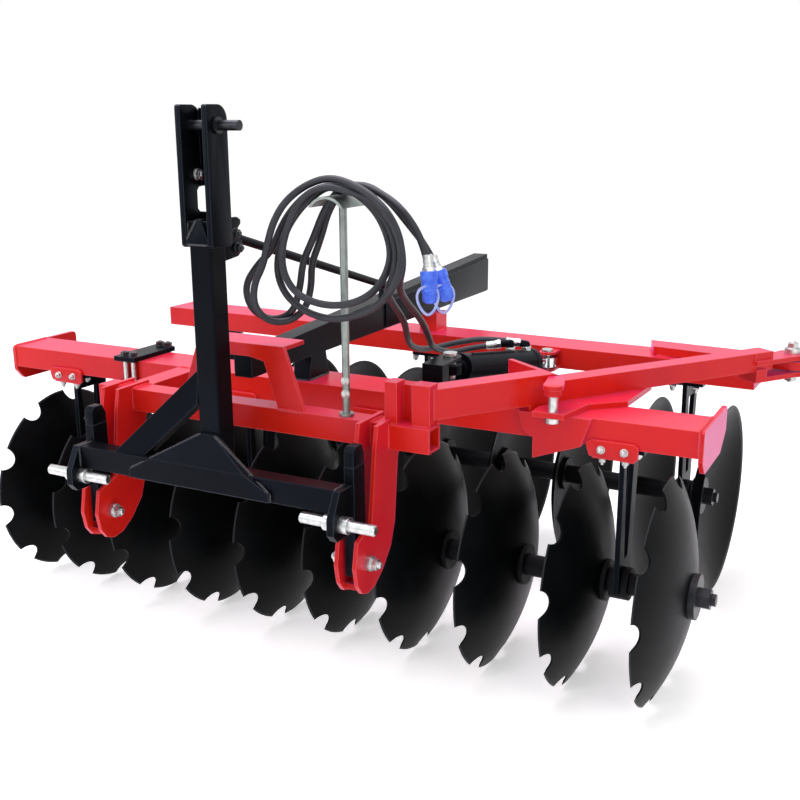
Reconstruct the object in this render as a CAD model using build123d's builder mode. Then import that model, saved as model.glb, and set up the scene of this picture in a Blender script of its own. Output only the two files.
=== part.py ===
"""Mounted offset disc harrow with notched front discs, plain rear discs and a hydraulic angling cylinder.

Frame of this file, in millimetres: X runs along the front gang to the machine's left-hand side, Y runs
rearward and Z up. The ground is Z = 0. The rim of the first front disc stands in the plane X = 0 and the
front gang's axle is at Y = 0.
"""
import os
from math import atan2, degrees, pi, radians, sqrt, tan

from build123d import *

os.makedirs("parts", exist_ok=True)

# Driving dimensions: the discs and what is threaded on a gang bolt
DISC_COUNT = 10
DISC_PITCH = 230.0
DISC_R = 305.0              # 24 inch discs
DISC_SPHERE = 600.0         # radius that the blanks are dished to
DISC_T = 5.0
DISC_EYE = 17.0             # radius of the hole for the gang bolt
DISC_FLAT_R = 62.0          # flat seat at the centre of the disc
BEVEL = 14.0                # ground edge of the disc, on its hollow side
NOTCHES, NOTCH_R, NOTCH_AT = 10, 36.0, 306.0

BOLT_R = 16.0               # gang bolt
BOLT_OUT = 62.0             # how far the gang bolt stands out of the end discs
END_WASHER_R, END_WASHER_T, NUT_R, NUT_T = 60.0, 18.0, 29.0, 32.0
SPOOL_R, SPOOL_FLANGE_R, SPOOL_FLANGE_T = 30.0, 56.0, 12.0
BEARING_R, BEARING_W = 44.0, 50.0
RUNNING = 0.08              # radial clearance of a running fit
BEARING_AT = 125.0          # bearing centre, from the rim plane of the disc beside it
FRONT_HANGER_DISCS = (0, 3, 5, 8)   # discs that have a bearing beside them, on the hollow side's far face
REAR_HANGER_DISCS = (0, 4, 8)
HANGER_T = 14.0             # hangers are flat plate, cut out round the bearing

# The two gang beams, rectangular tube
TUBE_T = 6.0
BEAM_TOP, BEAM_H, BEAM_D = 765.0, 70.0, 150.0
FRONT_BEAM_X = (-128.0, 2153.0)
FRONT_BEAM_Y = 15.0         # centre of the beam
END_PLATE = dict(t=12.0, front=-60.0, rear=225.0, top=BEAM_TOP, bottom=648.0)

HINGE_X, HINGE_Y = 2255.0, 735.0   # vertical hinge that the rear frame swings about
HINGE_PIN_R, CLEVIS_R = 14.0, 45.0
REAR_YAW = -1.8             # degrees, the rear frame as parked
REAR_BEAM_X = (-2392.0, -95.0)     # from the hinge, along the rear beam
REAR_BEAM_Y = 30.0
REAR = Location((HINGE_X, HINGE_Y, 0), (0, 0, REAR_YAW))

# The hitch frame stands ahead of the front beam
MID_X = 1000.0              # centre plane of the hitch
CROSS = dict(x0=496.0, x1=1556.0, y0=-336.0, y1=-272.0, z0=700.0, z1=764.0)
ARM_OFFSETS = (386.0, 438.0)       # of the drop arms' plates, either side of the hitch's centre
ARM_T = 11.0
ARM_BOLT, ARM_BOLT_R = (-452.0, 437.0), 12.0    # Y and Z, and radius, of the bolt through the arms
UPRIGHT = dict(w=27.0, y0=-483.0, y1=-428.0, z0=406.0, z1=690.0)
HEAD = dict(half=401.0, y0=-538.0, y1=-483.0, z0=585.0, z1=647.0)
PIN_Y, PIN_Z, PIN_R = -538.0, 565.0, 14.0       # lower link pins
PIN_OUT, COLLAR_R, COLLAR_W = 105.0, 21.0, 24.0
LUG_T, LUG_FRONT = 19.0, -574.0
MAST_W, MAST_FRONT, MAST_TOP = 64.0, -483.0, 1263.0
CHEEK = dict(t=15.0, y0=-492.0, y1=-410.0, z0=1199.0, z1=1498.0, web=10.0)
TOP_PIN_Y, TOP_PIN_Z, TOP_PIN_R = -451.0, 1490.0, 12.5
TOP_PIN_OUT, TOP_WASHER_T = 60.0, 6.0

LONG_BEAM = dict(w=56.0, y0=-325.0, y1=1286.0, top=897.0, bottom=836.0, rise=3.0)
SEAT_L = 110.0              # saddle that carries the long beam on the front beam

# What the pieces are moved by when they are saved: the middle of the whole machine, on the ground
ORIGIN = Vector(
    (FRONT_BEAM_X[0] - END_PLATE["t"] + HINGE_X + CLEVIS_R) / 2,
    (LUG_FRONT + LONG_BEAM["y1"]) / 2,
    0,
)


def save(part, name):
    """Labels the part and writes its STEP file."""
    placed = Location(-ORIGIN) * part
    placed.label = name
    export_step(placed, f"parts/{name}.step")
    print(name, len(placed.solids()), "solids")


def box(x0, x1, y0, y1, z0, z1, mode=Mode.ADD):
    """A box between two corners, inside the builder that is open."""
    with Locations(((x0 + x1) / 2, (y0 + y1) / 2, (z0 + z1) / 2)):
        Box(x1 - x0, y1 - y0, z1 - z0, mode=mode)


def tube(x0, x1, y0, y1, z0, z1, wall, along):
    """A rectangular tube, open at both ends, along the named axis."""
    box(x0, x1, y0, y1, z0, z1)
    i = {a: (0 if a == along else wall) for a in "xyz"}
    box(x0 + i["x"], x1 - i["x"], y0 + i["y"], y1 - i["y"], z0 + i["z"], z1 - i["z"], Mode.SUBTRACT)


def rod(start, end, radius, mode=Mode.ADD):
    """A round bar between two points."""
    s, e = Vector(*start), Vector(*end)
    with BuildSketch(Plane(origin=s, z_dir=e - s)) as section:
        Circle(radius)
    extrude(section.sketch, amount=(e - s).length, mode=mode)


def plate_yz(points, x0, x1, mode=Mode.ADD):
    """A plate across X, from its outline in Y and Z."""
    with BuildSketch(Plane.YZ.offset(x0)) as outline:
        with BuildLine():
            Polyline(*points, close=True)
        make_face()
    extrude(outline.sketch, amount=x1 - x0, mode=mode)


def plate_xz(points, y0, y1, mode=Mode.ADD):
    """A plate across Y, from its outline in X and Z."""
    with BuildSketch(Plane(origin=(0, y0, 0), x_dir=(1, 0, 0), z_dir=(0, 1, 0))) as outline:
        with BuildLine():
            Polyline(*[(x, -z) for x, z in points], close=True)
        make_face()
    extrude(outline.sketch, amount=y1 - y0, mode=mode)


def plate_xy(points, z0, z1, mode=Mode.ADD):
    """A level plate, from its outline in X and Y."""
    with BuildSketch(Plane.XY.offset(z0)) as outline:
        with BuildLine():
            Polyline(*points, close=True)
        make_face()
    extrude(outline.sketch, amount=z1 - z0, mode=mode)


# Gangs
def dish(r, side):
    """X of the dished blank's outer face at radius r, from the rim plane."""
    return side * (sqrt(DISC_SPHERE**2 - max(r, DISC_FLAT_R) ** 2) - sqrt(DISC_SPHERE**2 - DISC_R**2))


APEX = dish(0, 1)           # depth of the dish


def disc(side, notched):
    """One disc about the X axis, dished toward side (+1 or -1) around a flat seat."""
    t, mid_r, rim_r = side * DISC_T, DISC_R * 0.6, DISC_R - BEVEL
    seat = dish(0, side)
    with BuildPart() as d:
        with BuildSketch(Plane.XY):
            with BuildLine():
                ThreePointArc((0, DISC_R), (dish(mid_r, side), mid_r), (seat, DISC_FLAT_R))
                Line((seat, DISC_FLAT_R), (seat, DISC_EYE))
                Line((seat, DISC_EYE), (seat - t, DISC_EYE))
                Line((seat - t, DISC_EYE), (seat - t, DISC_FLAT_R))
                ThreePointArc((seat - t, DISC_FLAT_R), (dish(mid_r, side) - t, mid_r), (dish(rim_r, side) - t, rim_r))
                Line((dish(rim_r, side) - t, rim_r), (0, DISC_R))
            make_face()
        revolve(axis=Axis.X)
        if notched:
            with BuildSketch(Plane.YZ.offset(-DISC_T * 3)):
                with PolarLocations(NOTCH_AT, NOTCHES, start_angle=9):
                    Circle(NOTCH_R)
            extrude(amount=DISC_T * 3 + APEX, mode=Mode.SUBTRACT)
    return d.part


def gang(prefix, place, rims, side, notched):
    """Discs, spools, gang bolt and end fittings of one gang, about a local X axis at place."""
    blank = disc(side, notched)
    with BuildPart() as discs:
        for n, x in enumerate(rims):
            turn = 7.0 * n if notched else 0.0
            add((place * Location((x, 0, 0), (turn, 0, 0))) * blank)
    save(discs.part, f"{prefix}_discs")

    faces = sorted((x + side * APEX for x in rims))           # outer face of each disc's centre
    near = [x if side > 0 else x + DISC_T for x in faces]     # the centre's face toward +X
    far = [x - DISC_T if side > 0 else x for x in faces]      # the centre's face toward -X
    with BuildPart() as spools:
        for a, b in zip(near, far[1:]):
            with Locations(place * Location(((a + b) / 2, 0, 0), (0, 90, 0))):
                Cylinder(SPOOL_R, b - a)
            for x in (a + SPOOL_FLANGE_T / 2, b - SPOOL_FLANGE_T / 2):
                with Locations(place * Location((x, 0, 0), (0, 90, 0))):
                    Cylinder(SPOOL_FLANGE_R, SPOOL_FLANGE_T)
            with Locations(place * Location(((a + b) / 2, 0, 0), (0, 90, 0))):
                Cylinder(DISC_EYE, b - a, mode=Mode.SUBTRACT)
    save(spools.part, f"{prefix}_spools")

    left, right = far[0], near[-1]
    with BuildPart() as bolt:
        with Locations(place * Location(((left + right) / 2, 0, 0), (0, 90, 0))):
            Cylinder(BOLT_R, right - left + 2 * BOLT_OUT)
        for x, out in ((left, -1), (right, 1)):
            with Locations(place * Location((x + out * END_WASHER_T / 2, 0, 0), (0, 90, 0))):
                Cylinder(END_WASHER_R, END_WASHER_T)
            with BuildSketch(Plane(place * Location((x + out * (END_WASHER_T - 1), 0, 0), (0, 90, 0)))) as nut:
                RegularPolygon(NUT_R, 6)
            extrude(nut.sketch, amount=out * NUT_T)
    save(bolt.part, f"{prefix}_gang_bolt")


def hangers(prefix, place, rims, side, beside, seat_y):
    """Bearing housings and the plate hangers that carry them under a beam whose centre is at local y = seat_y."""
    under = BEAM_TOP - BEAM_H - DISC_R      # underside of the beam, above the axle
    foot_t, foot_w = 12.0, 110.0
    half_top, half_foot, slot_half = BEAM_D / 2 - 5, BEARING_R + 14, 22.0
    places = [rims[n] + side * BEARING_AT for n in beside]
    with BuildPart() as housings:
        for x in places:
            with Locations(place * Location((x, 0, 0), (0, 90, 0))):
                Cylinder(BEARING_R, BEARING_W)
                Cylinder(SPOOL_R + RUNNING, BEARING_W, mode=Mode.SUBTRACT)
    save(housings.part, f"{prefix}_bearings")
    with BuildPart() as hanger:
        box(-foot_w / 2, foot_w / 2, seat_y - half_top, seat_y + half_top, under - foot_t, under)
        plate_yz(
            ((seat_y - half_top, under - foot_t), (seat_y + half_top, under - foot_t), (half_foot, BEARING_R + 20), (half_foot, -12),
             (-half_foot, -12), (-half_foot, BEARING_R + 20)),
            -HANGER_T / 2, HANGER_T / 2,
        )
        rod((-HANGER_T, 0, 0), (HANGER_T, 0, 0), BEARING_R, Mode.SUBTRACT)
        plate_yz(
            ((-slot_half - 14, under - 55), (slot_half + 14, under - 55), (slot_half - 6, BEARING_R + 30), (-slot_half + 6, BEARING_R + 30)),
            -HANGER_T, HANGER_T, Mode.SUBTRACT,
        )
    with BuildPart() as legs:
        for x in places:
            add((place * Location((x, 0, 0))) * hanger.part)
    save(legs.part, f"{prefix}_hangers")


FRONT_GANG = Location((0, 0, DISC_R))
REAR_GANG = REAR * Location((0, REAR_BEAM_Y, DISC_R))
FRONT_RIMS = [DISC_PITCH * n for n in range(DISC_COUNT)]
REAR_RIMS = [-180.0 - DISC_PITCH * n for n in range(DISC_COUNT)]

gang("front", FRONT_GANG, FRONT_RIMS, 1, True)
gang("rear", REAR_GANG, REAR_RIMS, -1, False)
hangers("front", FRONT_GANG, FRONT_RIMS, 1, FRONT_HANGER_DISCS, FRONT_BEAM_Y)
hangers("rear", REAR_GANG, REAR_RIMS, -1, REAR_HANGER_DISCS, 0)

# Front beam with its end plates
BEAM_BOTTOM = BEAM_TOP - BEAM_H
FB_Y0, FB_Y1 = FRONT_BEAM_Y - BEAM_D / 2, FRONT_BEAM_Y + BEAM_D / 2

with BuildPart() as front_beam:
    tube(*FRONT_BEAM_X, FB_Y0, FB_Y1, BEAM_BOTTOM, BEAM_TOP, TUBE_T, "x")
save(front_beam.part, "front_beam")

with BuildPart() as front_ends:
    for x, out in zip(FRONT_BEAM_X, (-1, 1)):
        x0, x1 = sorted((x, x + out * END_PLATE["t"]))
        plate_yz(
            ((END_PLATE["front"], END_PLATE["top"]), (END_PLATE["front"], BEAM_BOTTOM - 12), (END_PLATE["front"] + 30, END_PLATE["bottom"]),
             (END_PLATE["rear"] - 60, END_PLATE["bottom"]), (END_PLATE["rear"], BEAM_BOTTOM), (END_PLATE["rear"], END_PLATE["top"])),
            x0, x1,
        )
    edges = front_ends.edges().filter_by(Axis.X)
    fillet(edges, 14)
save(front_ends.part, "front_beam_end_plates")

# Cross tube ahead of the beam, and the spacer tube between the two
with BuildPart() as cross:
    tube(CROSS["x0"], CROSS["x1"], CROSS["y0"], CROSS["y1"], CROSS["z0"], CROSS["z1"], TUBE_T, "x")
save(cross.part, "cross_tube")

SPACER = dict(x0=568.0, x1=638.0)
with BuildPart() as spacer:
    tube(SPACER["x0"], SPACER["x1"], CROSS["y1"], FB_Y0, CROSS["z0"], CROSS["z1"], TUBE_T, "y")
save(spacer.part, "spacer_tube")

BRACKET = dict(posts=((1426.0, 1460.0), (1502.0, 1551.0)), y0=-322.0, y1=-276.0, top=870.0, web=8.0)

# Drop arms: pairs of plates slotted round the cross tube, joined by a web at the toe
ARM_OUTLINE = (
    (-391, 764 + 10), (-391, 764), (-402, 716), (-427, 528), (-497, 506), (-510, 440), (-500, 390), (-480, 364), (-452, 354), (-415, 360),
    (-372, 388), (-327, 437), (-304, 498), (-285, 669), (-262, 700), (-262, 764 + 10),
)
with BuildPart() as arms:
    for side in (-1, 1):
        for off in ARM_OFFSETS:
            x = MID_X + side * off
            plate_yz(ARM_OUTLINE, x - ARM_T / 2, x + ARM_T / 2)
        x0, x1 = sorted(MID_X + side * off for off in ARM_OFFSETS)
        plate_yz(((-492, 376), (-452, 360), (-420, 366), (-420, 378), (-452, 373), (-482, 386)), x0 + ARM_T / 2, x1 - ARM_T / 2)
    box(CROSS["x0"] - 1, CROSS["x1"] + 1, CROSS["y0"], CROSS["y1"], CROSS["z0"], CROSS["z1"], Mode.SUBTRACT)
    box(SPACER["x0"], SPACER["x1"], CROSS["y1"], FB_Y0, CROSS["z0"], CROSS["z1"], Mode.SUBTRACT)
    for x0, x1 in BRACKET["posts"]:
        box(x0, x1, BRACKET["y0"], BRACKET["y1"], CROSS["z1"], BRACKET["top"], Mode.SUBTRACT)
    rod((0, *ARM_BOLT), (2 * MID_X, *ARM_BOLT), ARM_BOLT_R, Mode.SUBTRACT)
save(arms.part, "drop_arms")

# Headstock: lower beam, uprights that hang between the arms, lugs, link pins
with BuildPart() as head:
    box(MID_X - HEAD["half"], MID_X + HEAD["half"], HEAD["y0"], HEAD["y1"], HEAD["z0"], HEAD["z1"])
    box(MID_X - HEAD["half"] + 8, MID_X + HEAD["half"] - 8, HEAD["y0"] + TUBE_T, HEAD["y1"] - TUBE_T, HEAD["z0"] + TUBE_T, HEAD["z1"] - TUBE_T, Mode.SUBTRACT)
    fillet(head.edges().filter_by(Axis.X).group_by(SortBy.LENGTH)[-1], 5)
save(head.part, "headstock_beam")

ARM_MID = sum(ARM_OFFSETS) / 2
with BuildPart() as uprights:
    for side in (-1, 1):
        x = MID_X + side * ARM_MID
        box(x - UPRIGHT["w"] / 2, x + UPRIGHT["w"] / 2, UPRIGHT["y0"], UPRIGHT["y1"], UPRIGHT["z0"], UPRIGHT["z1"])
    rod((0, *ARM_BOLT), (2 * MID_X, *ARM_BOLT), ARM_BOLT_R, Mode.SUBTRACT)
save(uprights.part, "headstock_uprights")

LUG_X = HEAD["half"] + LUG_T / 2
with BuildPart() as lugs:
    for side in (-1, 1):
        x = MID_X + side * LUG_X
        plate_yz(
            ((LUG_FRONT, PIN_Z + 20), (LUG_FRONT, PIN_Z - 20), (-556, PIN_Z - 40), (-500, PIN_Z - 40), (UPRIGHT["y0"], PIN_Z - 20), (UPRIGHT["y0"], HEAD["z1"]), (-540, HEAD["z1"])),
            x - LUG_T / 2, x + LUG_T / 2,
        )
    rod((0, PIN_Y, PIN_Z), (2 * MID_X, PIN_Y, PIN_Z), PIN_R, Mode.SUBTRACT)
save(lugs.part, "lower_link_lugs")

with BuildPart() as link_pins:
    for side in (-1, 1):
        x = MID_X + side * LUG_X
        rod((x - PIN_OUT, PIN_Y, PIN_Z), (x + PIN_OUT, PIN_Y, PIN_Z), PIN_R)
        for out in (-1, 1):
            rod((x + out * LUG_T / 2, PIN_Y, PIN_Z), (x + out * (LUG_T / 2 + COLLAR_W), PIN_Y, PIN_Z), COLLAR_R)
    chamfer(link_pins.edges().filter_by(GeomType.CIRCLE).filter_by(lambda e: abs(e.radius - PIN_R) < 0.1 and abs(abs(abs(e.arc_center.X - MID_X) - LUG_X) - PIN_OUT) < 1), 4)
    box(MID_X - HEAD["half"], MID_X + HEAD["half"], HEAD["y0"], HEAD["y1"], HEAD["z0"], HEAD["z1"], Mode.SUBTRACT)
save(link_pins.part, "lower_link_pins")

# Mast with the channel that takes the tractor's top link
MAST_REAR = MAST_FRONT + MAST_W
MX0, MX1 = MID_X - MAST_W / 2, MID_X + MAST_W / 2
with BuildPart() as mast:
    tube(MX0, MX1, MAST_FRONT, MAST_REAR, HEAD["z0"] - 10, MAST_TOP, TUBE_T, "z")
    fillet(mast.edges().filter_by(Axis.Z).filter_by(lambda e: abs(abs(e.center().X - MID_X) - MAST_W / 2) < 0.1), 5)
save(mast.part, "mast")

CHEEK_R = (CHEEK["y1"] - CHEEK["y0"]) / 2
CHEEK_Y = (CHEEK["y1"] + CHEEK["y0"]) / 2
with BuildPart() as cheeks:
    for x0 in (MX0 - CHEEK["t"], MX1):
        with BuildSketch(Plane.YZ.offset(x0)) as outline:
            with Locations((CHEEK_Y, (CHEEK["z0"] + CHEEK["z1"]) / 2)):
                Rectangle(2 * CHEEK_R, CHEEK["z1"] - CHEEK["z0"])
            with Locations((CHEEK_Y, CHEEK["z1"])):
                Circle(CHEEK_R)
        extrude(outline.sketch, amount=CHEEK["t"])
    box(MX0, MX1, CHEEK["y1"] - CHEEK["web"], CHEEK["y1"], MAST_TOP, CHEEK["z1"])
    with BuildSketch(Plane.XZ.offset(-CHEEK["y1"])) as slot:
        with Locations((MID_X, 1325)):
            SlotOverall(80, 22, rotation=90)
    extrude(slot.sketch, amount=2 * CHEEK["web"], mode=Mode.SUBTRACT)
    rod((MX0 - 50, TOP_PIN_Y, TOP_PIN_Z), (MX1 + 50, TOP_PIN_Y, TOP_PIN_Z), TOP_PIN_R, Mode.SUBTRACT)
save(cheeks.part, "top_link_cheeks")

with BuildPart() as top_pin:
    x0, x1 = MX0 - CHEEK["t"], MX1 + CHEEK["t"]
    rod((x0 - 14, TOP_PIN_Y, TOP_PIN_Z), (x1 + TOP_WASHER_T + TOP_PIN_OUT, TOP_PIN_Y, TOP_PIN_Z), TOP_PIN_R)
    rod((x1, TOP_PIN_Y, TOP_PIN_Z), (x1 + TOP_WASHER_T, TOP_PIN_Y, TOP_PIN_Z), 20)
    rod((x0 - 14, TOP_PIN_Y, TOP_PIN_Z), (x0, TOP_PIN_Y, TOP_PIN_Z), 19)
save(top_pin.part, "top_link_pin")

# Brace and face plate of the headstock
with BuildPart() as brace:
    foot, head_end = Vector(744, -508, 626), Vector(MID_X, -451, 871)
    with BuildSketch(Plane(origin=foot - (head_end - foot) * 0.3, x_dir=(0, 1, 0), z_dir=head_end - foot)):
        Rectangle(46, 64)
    extrude(amount=(head_end - foot).length * 1.3)
    box(MX0, MID_X + 400, -700, 0, 400, 1200, Mode.SUBTRACT)
    box(0, 1400, -700, 0, 300, HEAD["z1"], Mode.SUBTRACT)
save(brace.part, "headstock_brace")

FACE_T, FACE_HALF, FACE_TOP_HALF = 11.0, 220.0, 18.0
GUSSET_FACE = (
    (MAST_FRONT, 722), (MAST_FRONT, HEAD["z1"] + 63), (HEAD["y0"] + 11, HEAD["z1"]), (HEAD["y0"], HEAD["z1"]), (HEAD["y0"], 590),
    (HEAD["y0"] - FACE_T, 590), (HEAD["y0"] - FACE_T, HEAD["z1"] + 4), (MAST_FRONT - FACE_T, 722),
)
with BuildPart() as gusset:
    plate_yz(GUSSET_FACE, MID_X - FACE_HALF, MID_X + FACE_HALF)
    plate_xz(
        ((MID_X - FACE_HALF, 585), (MID_X + FACE_HALF, 585), (MID_X + FACE_HALF, 612), (MID_X + FACE_TOP_HALF, 722), (MID_X - FACE_TOP_HALF, 722), (MID_X - FACE_HALF, 612)),
        -600, -450, Mode.INTERSECT,
    )
save(gusset.part, "headstock_gusset")

# Arch on the cross tube, long beam on its saddle, tie rod to the mast
ARCH_T = 11.0
with BuildPart() as arch:
    plate_xz(
        ((MID_X - 137, 933), (MID_X + 137, 933), (MID_X + 197, CROSS["z1"]), (MID_X + 115, CROSS["z1"]), (MID_X + 75, LONG_BEAM["top"] - 8), (MID_X + 29, LONG_BEAM["top"] + 1),
         (MID_X - 29, LONG_BEAM["top"] + 1), (MID_X - 75, LONG_BEAM["top"] - 8), (MID_X - 115, CROSS["z1"]), (MID_X - 197, CROSS["z1"])),
        CROSS["y0"], CROSS["y0"] + ARCH_T,
    )
    box(MID_X - 137, MID_X + 137, CROSS["y0"], -235, 922, 933)
save(arch.part, "arch_bracket")

with BuildPart() as long_beam:
    length = LONG_BEAM["y1"] - LONG_BEAM["y0"]
    rise = length * tan(radians(LONG_BEAM["rise"]))
    y0, y1, z0, z1 = LONG_BEAM["y0"], LONG_BEAM["y1"], LONG_BEAM["bottom"], LONG_BEAM["top"]
    x0, x1 = MID_X - LONG_BEAM["w"] / 2, MID_X + LONG_BEAM["w"] / 2
    plate_yz(((y0, z0), (y1, z0), (y1, z1 + rise), (y0, z1)), x0, x1)
    plate_yz(((y0 + 8, z0 + TUBE_T), (y1, z0 + TUBE_T), (y1, z1 + rise - TUBE_T), (y0 + 8, z1 - TUBE_T)), x0 + TUBE_T, x1 - TUBE_T, Mode.SUBTRACT)
    plate_yz(((FRONT_BEAM_Y - SEAT_L / 2, BEAM_TOP), (FRONT_BEAM_Y + SEAT_L / 2, BEAM_TOP), (FRONT_BEAM_Y + SEAT_L / 2 - 15, z0), (FRONT_BEAM_Y - SEAT_L / 2 + 15, z0)), x0, x1)
save(long_beam.part, "long_beam")

TIE_TOP, TIE_FOOT = Vector(MID_X, CHEEK["y1"] + 30, 1222), Vector(MID_X, 488, 945 + 22)
with BuildPart() as tie:
    rod(tuple(TIE_TOP), tuple(TIE_FOOT), 12)
    box(MID_X - 8, MID_X + 8, CHEEK["y1"], CHEEK["y1"] + 52, 1202, 1262)
    foot_top = LONG_BEAM["top"] + (TIE_FOOT.Y - LONG_BEAM["y0"]) * tan(radians(LONG_BEAM["rise"]))
    plate_yz(((450, foot_top - 2), (530, foot_top + 2.2), (515, foot_top + 40), (465, foot_top + 40)), MID_X - 8, MID_X + 8)
    plate_yz(((y0, z0), (y1, z0), (y1, z1 + rise), (y0, z1)), x0, x1, Mode.SUBTRACT)
save(tie.part, "tie_rod")

# Bracket on the right-hand end of the cross tube, where the apex strut starts
with BuildPart() as bracket:
    for p0, p1 in BRACKET["posts"]:
        box(p0, p1, BRACKET["y0"], BRACKET["y1"], CROSS["z1"], BRACKET["top"])
    box(BRACKET["posts"][0][1], BRACKET["posts"][1][0], BRACKET["y1"] - BRACKET["web"], BRACKET["y1"], CROSS["z1"], BRACKET["top"] - 12)
save(bracket.part, "strut_bracket")

# Apex strut and link: one straight line from the bracket to the hinge, with a flange plate on the front beam
LINE_START = Vector(1510.0, -306.0, 0)
HINGE = Vector(HINGE_X, HINGE_Y, 0)
LINE = (HINGE - LINE_START).normalized()
LINE_ANGLE = degrees(atan2(LINE.Y, LINE.X))
LINE_LEN = (HINGE - LINE_START).length
ON_HINGE = Location((HINGE_X, HINGE_Y, 0), (0, 0, LINE_ANGLE))
FLANGE_AT = 884.0           # centre of the flange plate, back from the hinge
FLANGE_T, FLANGE_HALF, FLANGE_SHIFT = 14.0, 112.0, 78.0
STRUT = dict(w=60.0, z0=779.0, z1=857.0)
LINK = dict(w=60.0, z0=780.0, z1=835.0)


def along(back, left, z):
    """A place on the strut's line: millimetres back from the hinge and to the left of the line."""
    return ON_HINGE * Location((-back, left, z))


with BuildPart() as strut:
    l = LINE_LEN - FLANGE_AT - FLANGE_T / 2
    with Locations(along(FLANGE_AT + FLANGE_T / 2 + l / 2, 0, (STRUT["z0"] + STRUT["z1"]) / 2)):
        Box(l, STRUT["w"], STRUT["z1"] - STRUT["z0"])
        Box(l - 2 * 8, STRUT["w"] - 2 * TUBE_T, STRUT["z1"] - STRUT["z0"] - 2 * TUBE_T, mode=Mode.SUBTRACT)
    box(1300, BRACKET["posts"][1][1], -500, BRACKET["y1"], 0, 1000, Mode.SUBTRACT)
    with Locations(along(FLANGE_AT + 46, 0, (BEAM_TOP + STRUT["z0"]) / 2)):
        Box(70, STRUT["w"], STRUT["z0"] - BEAM_TOP)
save(strut.part, "apex_strut")

EAR_PIN, EAR_PIN_R = (1790.0, -96.5), 13.0
with BuildPart() as apex:
    plate_xz(((1730, 642), (1860, 690), (1885, BEAM_TOP), (1690, BEAM_TOP), (1700, 718), (1730, 700)), FB_Y0 - 15, FB_Y0)
    plate_xy(((1740, -112), (1825, -112), (1850, 15), (1785, 15), (1740, FB_Y0)), BEAM_TOP, LINK["z0"])
    with BuildSketch(ON_HINGE * Plane.XY.offset(BEAM_TOP)) as under:
        with BuildLine():
            Polyline(*[(-b, l) for b, l in ((877, 57), (817, 34), (695, 29), (540, -4), (713, -115), (819, -92), (850, -37), (877, -37))], close=True)
        make_face()
    extrude(under.sketch, amount=LINK["z0"] - BEAM_TOP)
    with Locations(along(FLANGE_AT, FLANGE_SHIFT, (BEAM_TOP + 852) / 2)):
        Box(FLANGE_T, 2 * FLANGE_HALF, 852 - BEAM_TOP)
    rod((*EAR_PIN, 700), (*EAR_PIN, 900), EAR_PIN_R, Mode.SUBTRACT)
save(apex.part, "apex_bracket")

CLEVIS_GAP = (762.0, 798.0)
with BuildPart() as link:
    l = FLANGE_AT - FLANGE_T / 2 - 110
    with Locations(along(110 + l / 2, 0, (LINK["z0"] + LINK["z1"]) / 2)):
        Box(l, LINK["w"], LINK["z1"] - LINK["z0"])
    for z0, z1 in ((CLEVIS_GAP[1], CLEVIS_GAP[1] + 14), (CLEVIS_GAP[0] - 14, CLEVIS_GAP[0])):
        with BuildSketch(ON_HINGE * Plane.XY.offset(z0)) as ear:
            with Locations((-90, 0)):
                Rectangle(180, 80)
            Circle(CLEVIS_R)
            Circle(HINGE_PIN_R + RUNNING, mode=Mode.SUBTRACT)
        extrude(ear.sketch, amount=z1 - z0)
    with Locations(along(160, 0, 771)):
        Box(40, 80, 30)
save(link.part, "apex_link")

# Clamp on the left-hand end of the front beam
CLAMP = dict(x0=330.0, x1=410.0, plate=15.0, bolts=(363.0, 395.0), bolt_r=8.0, off=10.0)
with BuildPart() as left_clamp:
    y0, y1 = FB_Y0 - CLAMP["off"] - 16, FB_Y1 + CLAMP["off"] + 16
    for z in (BEAM_TOP, BEAM_BOTTOM - CLAMP["plate"]):
        box(CLAMP["x0"], CLAMP["x1"], y0, y1, z, z + CLAMP["plate"])
    for x in CLAMP["bolts"]:
        for y in (FB_Y0 - CLAMP["off"], FB_Y1 + CLAMP["off"]):
            rod((x, y, BEAM_BOTTOM - 30), (x, y, BEAM_TOP + 30), CLAMP["bolt_r"], Mode.SUBTRACT)
save(left_clamp.part, "left_clamp")

# Rear frame: beam, the arm to the hinge, the block that runs under the long beam
with BuildPart() as rear_beam:
    with Locations(REAR * Location((sum(REAR_BEAM_X) / 2, REAR_BEAM_Y, (BEAM_TOP + BEAM_BOTTOM) / 2))):
        Box(REAR_BEAM_X[1] - REAR_BEAM_X[0], BEAM_D, BEAM_H)
        Box(REAR_BEAM_X[1] - REAR_BEAM_X[0] - 2 * TUBE_T, BEAM_D - 2 * TUBE_T, BEAM_H - 2 * TUBE_T, mode=Mode.SUBTRACT)
save(rear_beam.part, "rear_beam")

with BuildPart() as rear_arm:
    with BuildSketch(REAR * Plane.XY.offset(CLEVIS_GAP[0] + 6)) as arm:
        with BuildLine():
            Polyline((0, 45), (-95, 60), (-455, 84), (-420, -10), (-95, -45), (0, -45), close=True)
        make_face()
        Circle(CLEVIS_R)
        Circle(HINGE_PIN_R + RUNNING, mode=Mode.SUBTRACT)
    extrude(arm.sketch, amount=CLEVIS_GAP[1] - CLEVIS_GAP[0] - 11)
    with Locations(REAR * Location((-280, REAR_BEAM_Y, (BEAM_TOP + CLEVIS_GAP[0] + 6) / 2))):
        Box(260, 80, CLEVIS_GAP[0] + 6 - BEAM_TOP)
save(rear_arm.part, "rear_arm")

with BuildPart() as guide:
    with Locations(REAR * Location((-1237, REAR_BEAM_Y + 10, (BEAM_TOP + LONG_BEAM["bottom"] - 6) / 2))):
        Box(66, 80, LONG_BEAM["bottom"] - 6 - BEAM_TOP)
save(guide.part, "beam_guide")

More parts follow.
